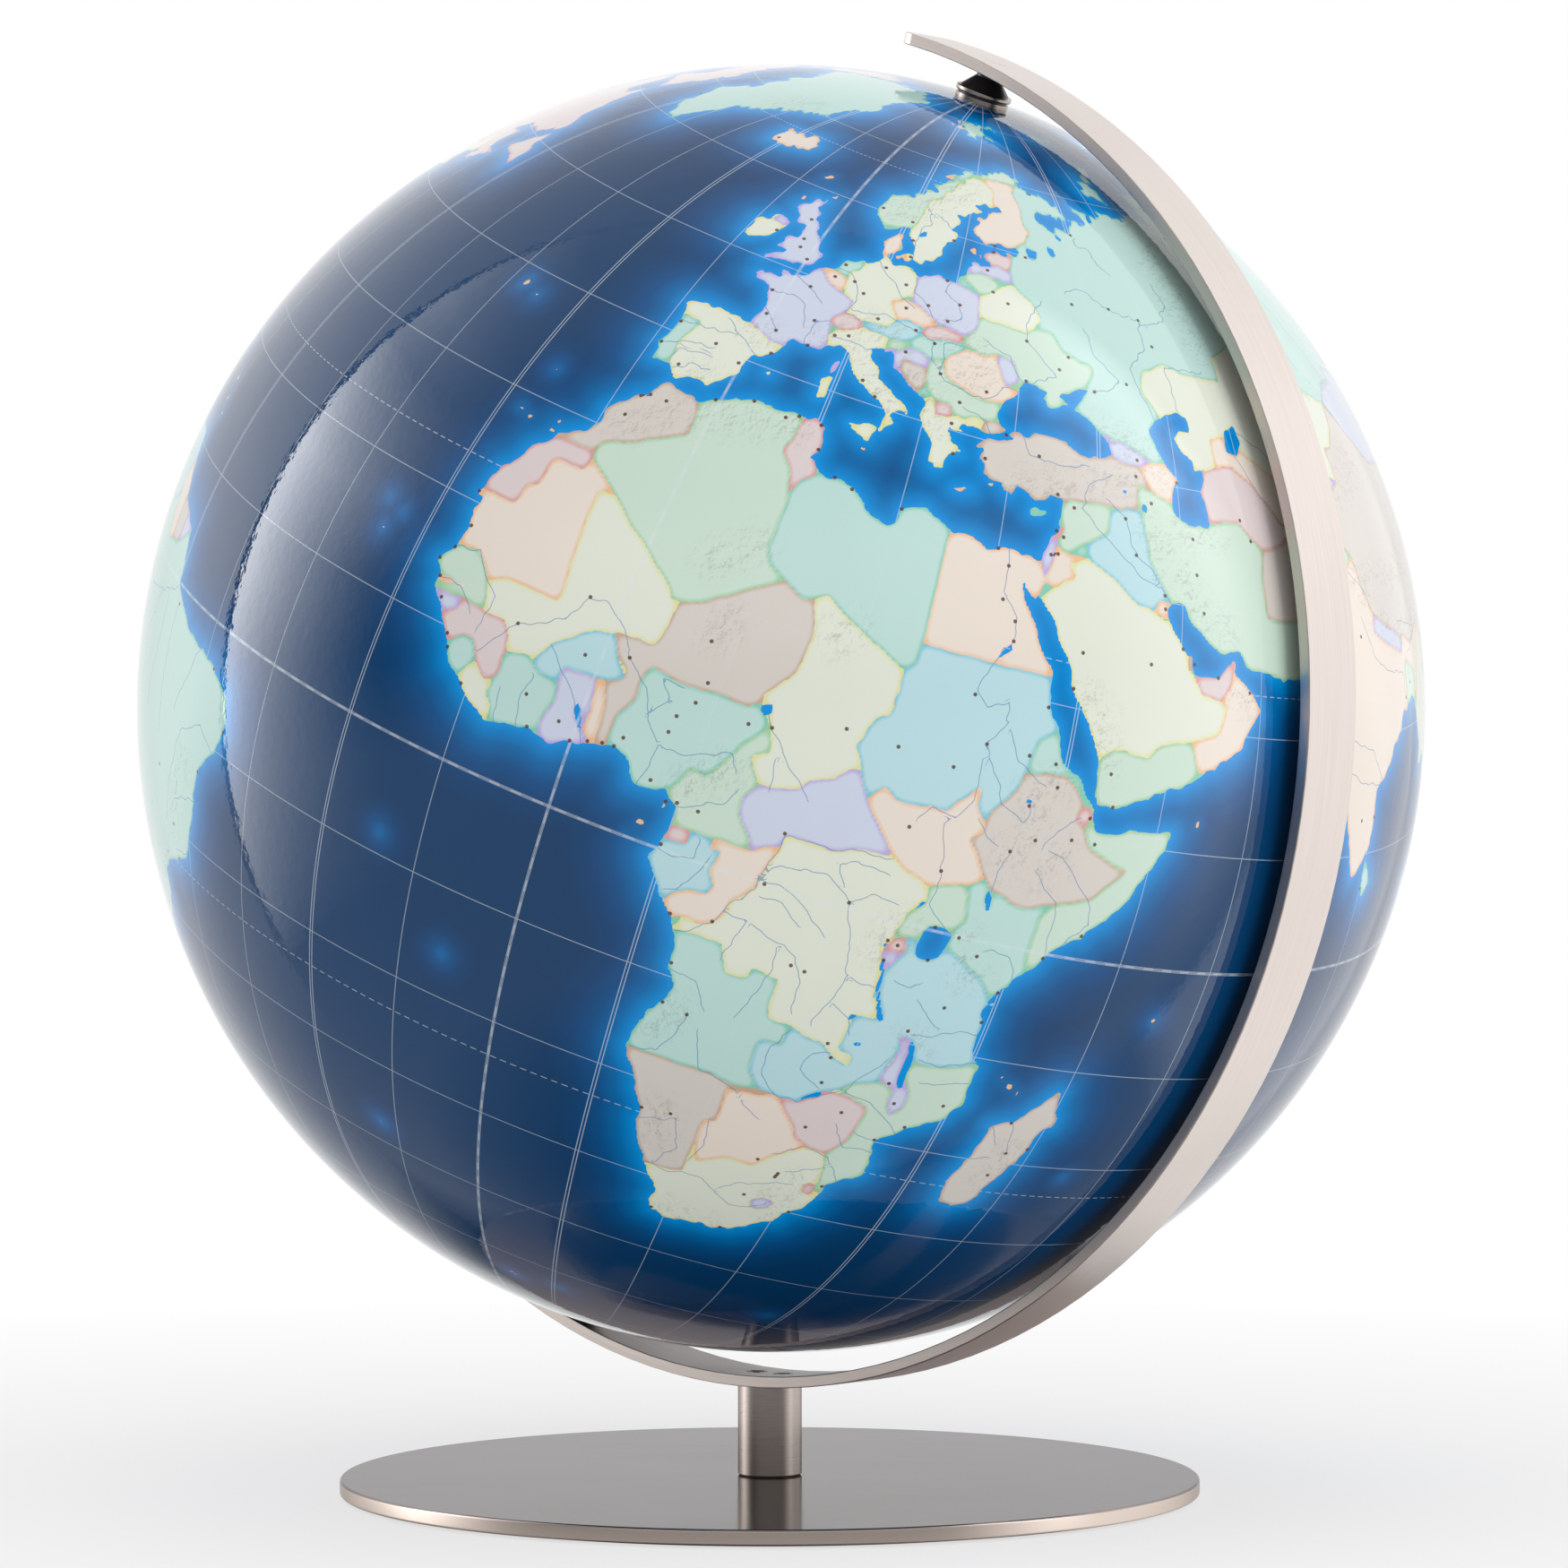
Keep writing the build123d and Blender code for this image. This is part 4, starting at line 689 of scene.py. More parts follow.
lakes = """
w 48 45.8 49.5 46.4 51.5 47 53 46.5 53 45.3 51.3 45.2 50.3 44.4 51.3 43.2 52.7 42.6 52.6 41.7 53.8 42
  54 41 53 40 53.6 39 53.9 37 51 36.8 49.2 37.6 48.9 38.5 49.5 40.3 50.3 40.4 49 41.5 47.6 43 46.8 44.7
w 58.3 44 59 46 61 46.6 61.3 45 60 43.7
w 103.7 51.5 105.8 51.9 109 53.6 109.9 55.6 108.7 54.6 106.5 52.9
w 73.7 45.4 74.5 44.9 79 46.4 76 46.9
w 30.3 61.2 32.8 61 32.3 60.1 31 59.9
w 34.5 62.3 36 61.8 36.3 61 35 60.9
w 12.4 58.7 13.5 59.3 14 58.7 13 58.4
w 31.7 -0.9 32 0.2 33 0.4 34.2 0.1 34 -1.2 33.6 -2.2 32.8 -2.5 31.9 -2.5 31.6 -1.6
w 29.1 -3.3 29.5 -4.6 29.5 -5.8 30.5 -8.3 31.1 -8.8 31.2 -8.5 30.5 -7.2 29.9 -6 29.8 -4.7 29.5 -3.3
w 33.9 -9.5 34.2 -10.4 34.2 -12 34.2 -13.2 34.6 -14.3 35.2 -14.3 34.9 -13.4 34.9 -11.5 34.6 -10
w 35.9 4.5 36.4 3.6 36.7 2.4 36.2 2.6 35.8 3.8
w 30.3 1 31.4 2.3 31 2.3 30.2 1.2
w 37 12.2 37.6 12.1 37.5 11.6 37 11.8
w 13.5 13.5 14.4 13.9 14.7 13.1 14 12.8
w -0.9 9 -0.1 8.2 0.3 6.9 0.3 6.3 -0.2 7 -0.7 8.1
w 26.9 -17.7 28.8 -16.6 28.5 -16.2 27 -17.4
w 32.8 24 33 23.4 31.3 21.8 32.4 23.4
w 28.3 -9.3 29.1 -8.6 28.6 -8.5 28.2 -8.9
w 29.4 -11.4 30.3 -11.2 29.9 -10.7
w 28.9 -1.7 29.3 -2.2 29 -2.5 28.8 -2
w 42.4 38.6 43.4 38.9 43.3 38.3
w 45.1 38 45.8 37.8 45.7 37 45.1 37.3
w -92 46.7 -88.5 48.7 -84.8 47.5 -84.6 46.5 -87.5 46.5 -90.5 46.9
w -87.8 42 -87.6 44 -86.5 45.8 -85 45.9 -86.3 44.2 -86.3 42.4 -87.2 41.6
w -84.6 46 -81 46 -80 44.6 -81.7 43.2 -83.5 43.9 -83.4 45.1
w -83.4 41.7 -79 42.8 -81 42.7 -82.8 42.3
w -79.7 43.3 -76.3 44.1 -76.3 43.5
w -98.5 53.5 -97 51 -96.4 50.5 -97 53.7
w -117 61.2 -109.5 62.6 -113 62 -115.5 62.4
w -124 65.3 -118 66.5 -120 66.9 -123 66.4 -121.5 65
w -72 10.2 -71 10.2 -71.2 9.2 -72 9.3
"""

rivers = """
31.1 31.4 31.2 28 32.7 26 32.9 24 31.3 21.8 30.5 19.5 32 18.4 33.8 19.4 33.7 17.6 32.5 15.6 32.5 13
  32.7 11 31.5 9.5 30.6 8.5 31.6 6 31.7 3.6 31.4 2.2 33.2 0.4
32.5 15.6 34 13.3 35 11.3 37.3 10.1 37.6 11.2 37.3 11.8
34 17.7 35.5 15 36.6 14.2 38.5 13.4
31.5 9.5 29.5 9.7 28.5 8.5
33.5 9.5 34.4 8.3 35.5 8
12.4 -6 13.6 -5.8 15.3 -4.3 16.2 -2.5 17.7 -0.5 18.5 1.5 21 2.1 23 2.2 25.2 0.5 26 -2 26.6 -4 27 -6
  26.3 -8 25.6 -10.5
17.7 -0.5 18.2 2 18.6 4.2 20.5 4.4 22.5 4.2 25 4.8 27.4 4.8
25.2 0.5 27 1.6 29 1.5
24.3 1.9 23.5 3.5 25 3.9 27.5 3.6
16.2 -3.1 18 -3.4 20.6 -4.3 21 -6.5 20.5 -9 19.5 -11.5
18 -3.4 17.3 -5 16.8 -7
20.6 -4.3 22.5 -5 23.4 -7 23.8 -10
17.8 0.3 20 0.2 22.5 -1.2 24 -2.8
18.3 -1 20 -1 22 -2.6
26.9 -5.4 28.5 -5.8 29.3 -5.9
26.6 -8 28.3 -9 28.8 -10.5
6 4.3 6.7 6 6.8 7.8 5.2 9.5 4.3 11.7 2.1 13.5 0.3 16 -1.5 17 -3 16.8 -4.2 14.5 -6 13.4 -8 12.6 -10.6 9.2
6.8 7.8 9 7.8 12.5 9.2 13.5 8
5 9.8 6.5 11.5 5.3 13 7 12.8
-16.5 16 -14 16.6 -12.5 15 -11 13.8 -11.3 10.5
-16.6 13.5 -14.5 13.5 -12.5 11.7
0.6 5.8 0.1 7 -1 8.7 -2.8 10.5 -4.5 12
-5 5.2 -5.5 7.5 -5 9.5
-7 4.6 -7.4 7.2
36.3 -18.8 34.8 -17.5 33 -16.2 30.4 -15.7 28.8 -16.5 27 -17.8 24.8 -17.8 23.2 -16 23 -13.5 24.3 -11.4
28.3 -16 27.3 -15.5 26 -14.7 26.5 -13 28 -12.5
30.4 -15.7 31 -14.5 32 -13 33 -11.8
16.4 -28.6 18.5 -28.9 20 -28.5 22 -28.7 23 -29.4 25.5 -30.7 27.2 -30.4 28.8 -29.4
23.7 -29.1 25 -28 26.5 -27.5 28 -26.9 29.8 -26.6
33.5 -25.2 32.8 -23.8 31.8 -22.6 29 -22.3 27 -23.8
32 -24 30.5 -24.5 29 -25.3
22.4 -18.8 21.6 -18.2 20.5 -17.9 18 -17.4 17 -14
22 -18.4 22.8 -19.6 24.5 -20.5
11.8 -17.3 14.2 -17 15.5 -14 15.8 -12.8
13.2 -9.4 15.5 -9.7 17 -12
14.5 -24 17.8 -23 18.5 -26 17.2 -28.2
20.2 -26.9 20.8 -24 20.5 -22
14.5 12.9 15 12 17.5 9.5 19.5 7.5
16 9.8 16.2 8.5 16.2 7.4
42.6 -0.2 42.3 3 42 4.5 40.8 5.3 39.5 6.5
43.5 0.5 44.5 1.9 45.6 3 45 5 43.2 6.5 41.5 8 40.3 8.5
40.5 -2.5 39.5 -0.8 38 -0.5 37.3 -0.9
36.2 4.5 36.2 6 37 8
42 11.4 40.5 10 39.5 8.7
39.3 -7.9 37.5 -8.2 35.5 -9 34 -9
36.5 -8.3 34.8 -7.6 33.5 -6
31 -5 32.3 -5.2 33 -4.5
40.4 -10.5 38.5 -11.2 37 -11.6 35.5 -11.3
40.5 -12.5 38 -13 36.5 -13.5
35 -21 32.4 -21.2 31 -19
34.7 -19.8 33 -19.5
10.9 -3 12.5 -2 13.5 0.8
9.3 0.2 10.5 -0.2 12.3 0.2 12.3 1.8
9.9 3.8 11.5 4.5 13.2 5.2 14 6.5
46.5 -15.9 47 -17.5 47.5 -18.8
44.5 -20 46 -19.5
44.8 -16.3 46 -18
48.5 30 47.3 31.2 46.3 32.4 44.4 33.3 43.1 36.3 41 37.6
47.3 31 44.4 32 41.5 34 38.2 36.2 38.8 38.6 41.5 39.8
29.6 45.2 28 45.4 27 44.1 24.5 43.7 22.7 44 20.4 44.8 19 46 18.8 47.8 16.4 48.2 12 48.8 8.5 48
4.1 51.9 6.2 51.8 7.6 50.3 8.4 49 7.6 47.6 9.4 47.5
4.8 43.4 4.8 45.7 6.2 46.2
-2.2 47.2 0.7 47.4 3 47 4 45
0.2 49.5 2.3 48.8 4.5 47.7
-1 45.4 0.5 44.2 1.4 43.4
0.8 40.7 -1 41.7 -4 43
-9.2 38.7 -6 39.8 -3.5 40
-8.6 41.1 -4.5 41.6 -2.7 41.9
-6.4 36.8 -4.8 37.9 -3 38
-7.2 37.2 -6.8 38.9 -3.5 39.2
12.5 45 9.5 45.1 7.7 45
8.9 53.9 11.5 52.5 13.7 51 15.5 50.3
14.3 53.8 14.6 52.3 17 51.2 18 50
19 54.3 18.8 53 21 52.3 21.5 50.7 19.5 50
20.3 45.2 20.2 48 22.5 48.2
31.5 46.5 34.5 47.7 32 49.5 30.6 50.5 30.5 53 32.5 55
30.3 46.2 28.5 48.3 25 49.2
39.4 47.2 42 47.7 43.5 48.8 40 51 39 53.5
47.9 45.9 46.5 48.2 45.5 50.5 48.5 53 49.3 55.6 44 56.3 39 57.9 36 56.9
49.3 55.4 53 56 56 58 55 60.5
51.9 47 51.4 51.2 58 51.5
40.4 64.6 44 62 46 60.5
12 56.9 13.5 60.5 12.5 62.5
17.3 60.8 14.5 61.5 12.8 62.5
27.2 40.8 26.5 41.8 24 42.2
31 41.1 32 39.8 36 39.6 38.5 40
59 44.5 61.5 41.5 65 38.2 69 37.2
61 46 66 44 69 41
72 66.5 66 66.5 69 61 76 61 83 56.5 85 52.5
69 61 68.5 58.2 75 55 83 49.5
83 71 86.5 67 90 62 92.5 56 94.5 51.7
127 72 124 66 130 62 121 60 108 55
141 53 135 48.5 128 50 121 53.3
67.5 24 68.5 27.5 71.5 32 74.5 35.3 80 32
88 21.8 88 24.8 83 25.3 80 26.8 78 30
90 24 90 26 95 28 88 29.3
81.5 16 79 18.8 74 20
80.9 15.8 77 16.3 74 17.7
106.5 10 105.8 14 102 18 98.5 27
97 16.5 97.5 20 98.5 25
95.2 16 95 21 97 25.5
121.5 31.6 112 30.2 106.5 29.5 100 26.5 97 33
119 37.7 114 35 110.5 37.5 108.5 40.8 104 36 98 34.5
-50 -0.5 -55 -2.2 -60 -3.2 -65 -2.5 -70 -4.2 -74 -4.5
-58.8 -3.4 -63 -8.5 -66 -11.5
-36.4 -10.5 -39 -8.8 -43 -11 -44.5 -15 -46 -20
-58.4 -34 -60.6 -32 -58.8 -27.4 -54.6 -25.6 -51 -20
-48.8 -1.5 -49 -6 -48.5 -13
-54.7 -2.4 -57.5 -7 -56.5 -12
-52 -1.6 -52 -6 -53.5 -12
-41.8 -2.9 -43 -6 -45 -9.5
-39 -15.9 -41.5 -16.5 -43.5 -17.5
-41 -21.6 -43.5 -22.3
-62 8.6 -66.5 7.5 -67.5 4
-89.3 29.1 -91.3 31.5 -90 36 -91 41 -93.5 45
-90.2 38.8 -95.5 40 -101 46 -110 47.5
-134.5 69 -128 65 -121.5 61.8 -117 61
-71 47 -73.5 45.5 -75.5 45.4 -77 47
138 -35 141 -34 147 -36
"""

towns = """
-7.6 33.6 -6.8 34 -8 31.6 -5 34 3 36.8 -0.6 35.7 6.6 36.4 7.8 36.9 10.2 36.8 10.8 34.7 13.2 32.9 20.1 32.1
15.1 32.4 31.2 30 29.9 31.2 31.2 27.2 32.9 24.1 32.7 25.7 -16 18.1 -17 20.9 -17.4 14.7 -16.5 16 -16.6 13.4
-15.6 11.9 -13.7 9.5 -13.2 8.5 -10.8 6.3 -4 5.3 -5 7.7 -0.2 5.6 -1.6 6.7 1.2 6.1 2.4 6.4 3.4 6.5 3.9 7.4
8.5 12 7.4 10.5 7.2 9.1 7.1 5 13.1 11.8 -8 12.6 -3 16.8 -1.5 12.4 2.1 13.5 8.9 13.8 8 17 15 12.1 20.8 13.8
18.6 4.4 9.7 4 11.5 3.9 8.8 3.8 9.5 0.4 15.3 -4.3 11.9 -4.8 13.2 -8.8 13.5 -12.4 15.7 -12.8 17.1 -22.6
14.5 -22.9 18.4 -33.9 25.6 -34 31 -29.9 28.1 -26.2 28.2 -25.7 26.2 -29.1 25.9 -24.7 31 -17.8 28.6 -20.1
28.3 -15.4 28.2 -12.9 27.5 -11.7 23.6 -6.1 22.4 -5.9 25.2 0.5 18.3 0 29.2 -1.7 30.1 -1.9 29.4 -3.4
32.6 0.3 36.8 -1.3 39.7 -4 34.8 -0.1 39.3 -6.8 35.7 -6.2 32.9 -2.5 33.5 -8.9 33.8 -14 35 -15.8 32.6 -26
34.9 -19.8 39.3 -15.1 36.9 -17.9 47.5 -18.9 49.4 -18.2 46.3 -15.7 47.1 -21.5 38.7 9 39.5 13.5 41.9 9.6
37.4 11.6 36.8 7.7 38.9 15.3 43.1 11.6 45.3 2 44.1 9.6 42.5 -0.4 32.5 15.6 37.2 19.6 30.2 13.2 25.3 13.6
36.4 15.5 30.5 19.2 31.6 4.9 28 7.7 -3.7 40.4 2.2 41.4 -0.4 39.5 -6 37.4 -9.1 38.7 -8.6 41.1 2.3 48.9
4.8 45.8 5.4 43.3 -0.6 44.8 1.4 43.6 -1.6 47.2 -0.1 51.5 -1.9 52.5 -2.2 53.5 -3.2 55.9 -6.3 53.3 4.4 50.8
4.9 52.4 13.4 52.5 10 53.6 11.6 48.1 8.7 50.1 7 51 16.4 48.2 14.4 50.1 21 52.2 19.9 50.1 17 51.1 18.6 54.4
12.5 41.9 9.2 45.5 14.3 40.8 7.7 45.1 19 47.5 26.1 44.4 23.3 42.7 20.5 44.8 16 45.8 23.7 38 22.9 40.6
29 41 32.9 39.9 27.1 38.4 35.3 37 30.5 50.5 36.3 50 30.7 46.5 35 48.5 27.6 53.9 37.6 55.8 30.3 59.9
44 56.3 49.1 55.8 50.2 53.2 44.5 48.7 39.7 47.2 24.1 57 24.8 59.4 25.3 54.7 24.9 60.2 18.1 59.3 12 57.7
10.8 59.9 5.3 60.4 12.6 55.7 33 69 40.5 64.5 44.8 41.7 49.9 40.4 44.5 40.2 51.4 35.7 51.7 32.7 46.3 38.1
59.6 36.3 52.5 29.6 44.4 33.4 47.8 30.5 43.1 36.3 36.3 33.5 37.2 36.2 35.5 33.9 35.2 31.8 35.9 32
46.7 24.7 39.2 21.5 39.6 24.5 50.1 26.4 54.4 24.5 58.4 23.6 44.2 15.4 45 12.8 47.9 29.4 51.5 25.3
69.3 41.3 77 43.3 58.4 38 69.2 34.5 67 24.9 74.3 31.5 77.2 28.6 72.9 19 88.4 22.6 80.3 13.1 77.6 13
79.9 6.9 90.4 23.7 96.2 16.8 100.5 13.7 106.7 10.8 105.8 21 116.4 39.9 121.5 31.2 114.2 22.3 127 37.5
139.7 35.7 135.5 34.7 106.8 -6.2 103.8 1.3 121 14.6 -43.2 -22.9 -46.6 -23.5 -38.5 -13 -34.9 -8 -38.5 -3.7
-47.9 -15.8 -48.5 -1.5 -60 -3.1 -43.9 -19.9 -51.2 -30 -58.4 -34.6 -56.2 -34.9 -66.9 10.5 -74.1 4.6 -77 -12
-70.6 -33.4 -74 40.7 -71.1 42.4 -77 38.9 -80.2 25.8 -87.6 41.9 -73.6 45.5 -99.1 19.4 -82.4 23.1 -21.9 64.1
-51.7 64.2 151.2 -33.9 145 -37.8 174.8 -36.9
"""

ranges = """
-8 31 -5 32.5 -1 34 5 35.5 9 36
5.5 23.3 9 25
17 20 19 21.5
8 17 9 19
36.5 6.5 38 9.5 38 12.5 39.3 14
39.5 6 41.5 9
29.5 -31 29.3 -29 30.5 -26
19.5 -33.5 23 -33.6
16 -22 16.5 -25
13.5 -15 14.5 -12.5
35.5 -0.5 36 -3 37.3 -3
29 -3 29.8 0.3
34 -9 35 -11
9.5 5 11 6.5 12.8 8
47 -21.5 47.3 -18.5
6.5 44.5 8 46 12 47 14.5 47.3
15 45 18 43.5 21 40
20 49.2 24 48 25.5 45.5 22.5 45.3
-1.5 43 2.5 42.5
-3.5 37.2 -2.5 37.3
11 44.3 13.5 42.3 16 40
8 60.5 12 63 16 67.5
60 68 59.5 60 59 54
40 43.5 44.5 42.6 47.5 41.5
31 37 35 37.5 39 39 44 39.5
45 36.5 48 33.5 52 30 55 28
50 36.3 54 36.2
43.5 15 43 18 41 21
57 23.2 58.5 23
67 35 71 36.5 75 36 80 31.5 86 28.2 92 28 96 29
74 40 80 42 88 43.5
88 49.5 98 50.5
78 33 86 33 96 34
-71 -50 -71 -36 -69 -25 -69 -17 -76 -10 -78.5 -1 -76 4 -72.5 8
-44 -20.5 -43.5 -17 -41.5 -13
-47 -23 -49.5 -27
-107 35 -110 43 -115 50 -124 57 -135 61
-120 38 -121.5 45
-82 36 -77 40
-30 70 -32 68.8
148 -36.5 151.5 -29
138 -4 145 -6
"""

tint_letters = "gtbcpnrl"
tint_colours = ("#CADFD0", "#BDDDD6", "#B9DCE2", "#E0E5D6", "#E8DCD0", "#D6CFC8", "#DDCFCF", "#CDD4E6")
edge_colours = ("#9BCB9C", "#84C9B2", "#7FC3D6", "#DFDC98", "#EBB98C", "#C6A890", "#D79E9C", "#BBA9DC")
# The map is worked out on cells of a tenth of a degree. The overlap is ground past longitude 180, which is
# laid over the first columns.
cell = 0.1
row_count = 1801
column_count = 3600
overlap = 200


def outlines(text):
    """Yields the tint letter, if any, and the points of each outline. Indented lines carry on the last."""
    for line in text.strip().replace("\n ", " ").splitlines():
        words = line.split()
        tint = words.pop(0) if words[0].isalpha() else None
        yield tint, np.array(words, float).reshape(-1, 2)


wave_count = 28
draw = np.random.default_rng(11)
wave_length = np.geomspace(0.45, 4.0, wave_count)
wave_way = draw.uniform(0, 2 * np.pi, wave_count)
wave_phase = draw.uniform(0, 2 * np.pi, wave_count)
wave_share = draw.normal(0, 1, (wave_count, 2)) * (wave_length ** 0.6 / 8)[:, None]


def hand_drawn(points, size, closed=True):
    """An outline with points every eighth of a degree, shifted by a fixed sum of short waves, size degrees
    high and higher in the far north and south. The same place always moves the same way, so a border that
    two outlines share stays shared."""
    ring = np.vstack([points, points[:1]]) if closed else points
    run = np.concatenate([[0], np.cumsum(np.hypot(*np.diff(ring, axis=0).T))])
    at = np.union1d(np.arange(0, run[-1], 0.125), run)
    ring = np.column_stack([np.interp(at, run, ring[:, 0]), np.interp(at, run, ring[:, 1])])
    along = ring @ np.array([np.cos(wave_way), np.sin(wave_way)])
    shift = np.sin(along * 2 * np.pi / wave_length + wave_phase) @ wave_share
    rugged = 1 + 1.5 * np.clip((np.abs(ring[:, 1:]) - 52) / 12, 0, 1)
    shrink = np.column_stack([np.cos(np.radians(ring[:, 1])).clip(0.2), np.ones(len(ring))])
    return ring + shift * size * rugged / shrink


def cells_within(ring):
    """Rows, columns and mask of the cells inside a closed ring: each edge flips all cells east of it."""
    (x0, y0), (x1, y1) = ring[:-1].T, ring[1:].T
    first = np.ceil((np.minimum(y0, y1) + 90) / cell).astype(int).clip(0)
    count = np.ceil((np.maximum(y0, y1) + 90) / cell).astype(int).clip(0, row_count) - first
    edge = np.repeat(np.arange(len(count)), count)
    row = np.arange(count.sum()) - np.repeat(np.cumsum(count) - count, count) + first[edge]
    share = (row * cell - 90 - y0[edge]) / (y1 - y0)[edge]
    crossing = x0[edge] + share * (x1 - x0)[edge]
    column = np.ceil((crossing + 180) / cell).astype(int).clip(0, column_count + overlap - 1)
    low, high, west, east = row.min(), row.max() + 1, column.min(), column.max() + 1
    flips = np.zeros((high - low, east - west), np.int32)
    np.add.at(flips, (row - low, column - west), 1)
    return (slice(low, high), slice(west, east)), np.cumsum(flips, axis=1) % 2 == 1


# The ground holds 0 for water and otherwise the number of a tint, cell by cell. Each kind of outline is
# roughened by its own measure, in degrees.
coast_waves, islet_waves, border_waves, shore_waves = 0.16, 0.3, 0.09, 0.06
islet_radius = 0.24
ground = np.zeros((row_count, column_count + overlap), np.uint8)
islands = np.zeros_like(ground, bool)
for tint, points in outlines(coasts):
    window, mask = cells_within(hand_drawn(points, coast_waves))
    ground[window][mask] = 1 + tint_letters.index(tint)
around = np.radians(np.arange(0, 360, 45))
for place in np.array(islets.split(), float).reshape(-1, 2):
    spread = np.column_stack([np.cos(around) / np.cos(np.radians(place[1])), np.sin(around)])
    window, mask = cells_within(hand_drawn(place + islet_radius * spread, islet_waves))
    ground[window][mask] = 1 + tint_letters.index("p")
    islands[window][mask] = True
for tint, points in outlines(countries):
    window, mask = cells_within(hand_drawn(points, border_waves))
    ground[window][mask & (ground[window] > 0)] = 1 + tint_letters.index(tint)
for _, points in outlines(lakes):
    window, mask = cells_within(hand_drawn(points, shore_waves))
    ground[window][mask] = 0
ground[:, :overlap] = np.maximum(ground[:, :overlap], ground[:, column_count:])
ground, islands = ground[:, :column_count], islands[:, :column_count]

# The print is read off at every third cell, where the vertices of the gores will be.
stride = 3
knot = stride * cell
knot_latitude = np.arange(0, row_count, stride) * cell - 90
knot_shape = (len(knot_latitude), column_count // stride)
narrowing = np.cos(np.radians(knot_latitude)).clip(0.03)[:, None]


def softened(layer, weights, times=1):
    """A layer averaged with its neighbours, first along the rows and then across them."""
    half = len(weights) // 2
    for _ in range(times):
        layer = sum(w * np.roll(layer, k - half, axis=1) for k, w in enumerate(weights))
        edge_kept = np.pad(layer, ((half, half), (0, 0)), mode="edge")
        layer = sum(w * edge_kept[k:k + len(layer)] for k, w in enumerate(weights))
    return layer


def degrees_from(mask, limit):
    """Distance in degrees of every knot from the nearest one in mask, up to limit: the distance along each
    row, then the least over the rows above and below."""
    count = mask.shape[1]
    thrice = np.tile(mask, 3)
    number = np.arange(3 * count)
    after = number - np.maximum.accumulate(np.where(thrice, number, -10**6), axis=1)
    before = np.minimum.accumulate(np.where(thrice, number, 10**6)[:, ::-1], axis=1)[:, ::-1] - number
    along = (np.minimum(after, before)[:, count:2 * count] * knot * narrowing) ** 2
    reach = int(limit / knot)
    padded = np.pad(along, ((reach, reach), (0, 0)), constant_values=1e6)
    rows = (padded[k:k + len(mask)] + ((k - reach) * knot) ** 2 for k in range(2 * reach + 1))
    return np.sqrt(np.min(list(rows), axis=0)).clip(0, limit)


ink_spread = np.array([1, 2, 3, 2, 1], np.float32) / 9
tints = np.stack([softened((ground == k + 1).astype(np.float32), ink_spread)[::stride, ::stride]
                  for k in range(len(tint_letters))])
land = tints.sum(axis=0)
border = np.stack([softened(layer, np.ones(3) / 3, 2) for layer in tints]).max(axis=0)
mainland = ((ground > 0) & ~islands)[::stride, ::stride]
glow_reach = 7.0
islet_reach = 3.0
islet_glow = 0.2
from_mainland = degrees_from(mainland, glow_reach) / glow_reach
from_islets = degrees_from(islands[::stride, ::stride], islet_reach) / islet_reach
offshore = np.minimum(from_mainland, islet_glow + (1 - islet_glow) * from_islets)
offshore = softened(offshore, np.array([1, 2, 1]) / 4, 2)


def knots_near(points, reach):
    """Row and column numbers of the knots up to reach steps from each point."""
    step = np.arange(-reach, reach + 1)
    row = np.rint((points[:, 1] + 90) / knot).astype(int)[:, None, None] + step[:, None]
    column = np.rint((points[:, 0] + 180) / knot).astype(int)[:, None, None] + step
    row, column = np.broadcast_arrays(row, column)
    return row.clip(0, len(knot_latitude) - 1), column


# Near a river or a town, the knots hold their offset from it in mm; farther off they hold a large number.
ball_radius = 0.170
millimetres_per_degree = np.radians(1) * 1000 * ball_radius
far_off = 9.0
knots_about = 3
river_waves = 0.14
streams = np.full((*knot_shape, 2), far_off)
for _, points in outlines(rivers):
    line = hand_drawn(points, river_waves, closed=False)
    line = line[np.append(True, np.diff(line, axis=0).any(axis=1))]
    row, column = knots_near(line[:-1], knots_about)
    squeeze = np.cos(np.radians(line[:-1, 1]))[:, None, None]
    start, end = line[:-1, :, None, None], line[1:, :, None, None]
    east, north = (column * knot - 180 - start[:, 0]) * squeeze, row * knot - 90 - start[:, 1]
    run, rise = (end[:, 0] - start[:, 0]) * squeeze, end[:, 1] - start[:, 1]
    share = ((east * run + north * rise) / (run**2 + rise**2)).clip(0, 1)
    away = np.hypot(east - share * run, north - share * rise) * millimetres_per_degree
    side = np.where(run * north - rise * east >= 0, away, -away)
    order = np.argsort(-away, axis=None)
    spot = row.ravel()[order], column.ravel()[order] % knot_shape[1]
    near = away.ravel()[order] < streams[spot][:, 1]
    spot = spot[0][near], spot[1][near]
    streams[spot] = np.column_stack([side.ravel()[order][near], away.ravel()[order][near]])

town_list = np.array(towns.split(), float).reshape(-1, 2)
row, column = knots_near(town_list, knots_about)
squeeze = np.cos(np.radians(town_list[:, 1]))[:, None, None]
east = (column * knot - 180 - town_list[:, 0, None, None]) * squeeze * millimetres_per_degree
north = (row * knot - 90 - town_list[:, 1, None, None]) * millimetres_per_degree
order = np.argsort(-np.hypot(east, north), axis=None)
dots = np.full((*knot_shape, 3), far_off)
offsets = np.column_stack([east.ravel(), north.ravel(), np.hypot(east, north).ravel()])
dots[row.ravel()[order], column.ravel()[order] % knot_shape[1]] = offsets[order]

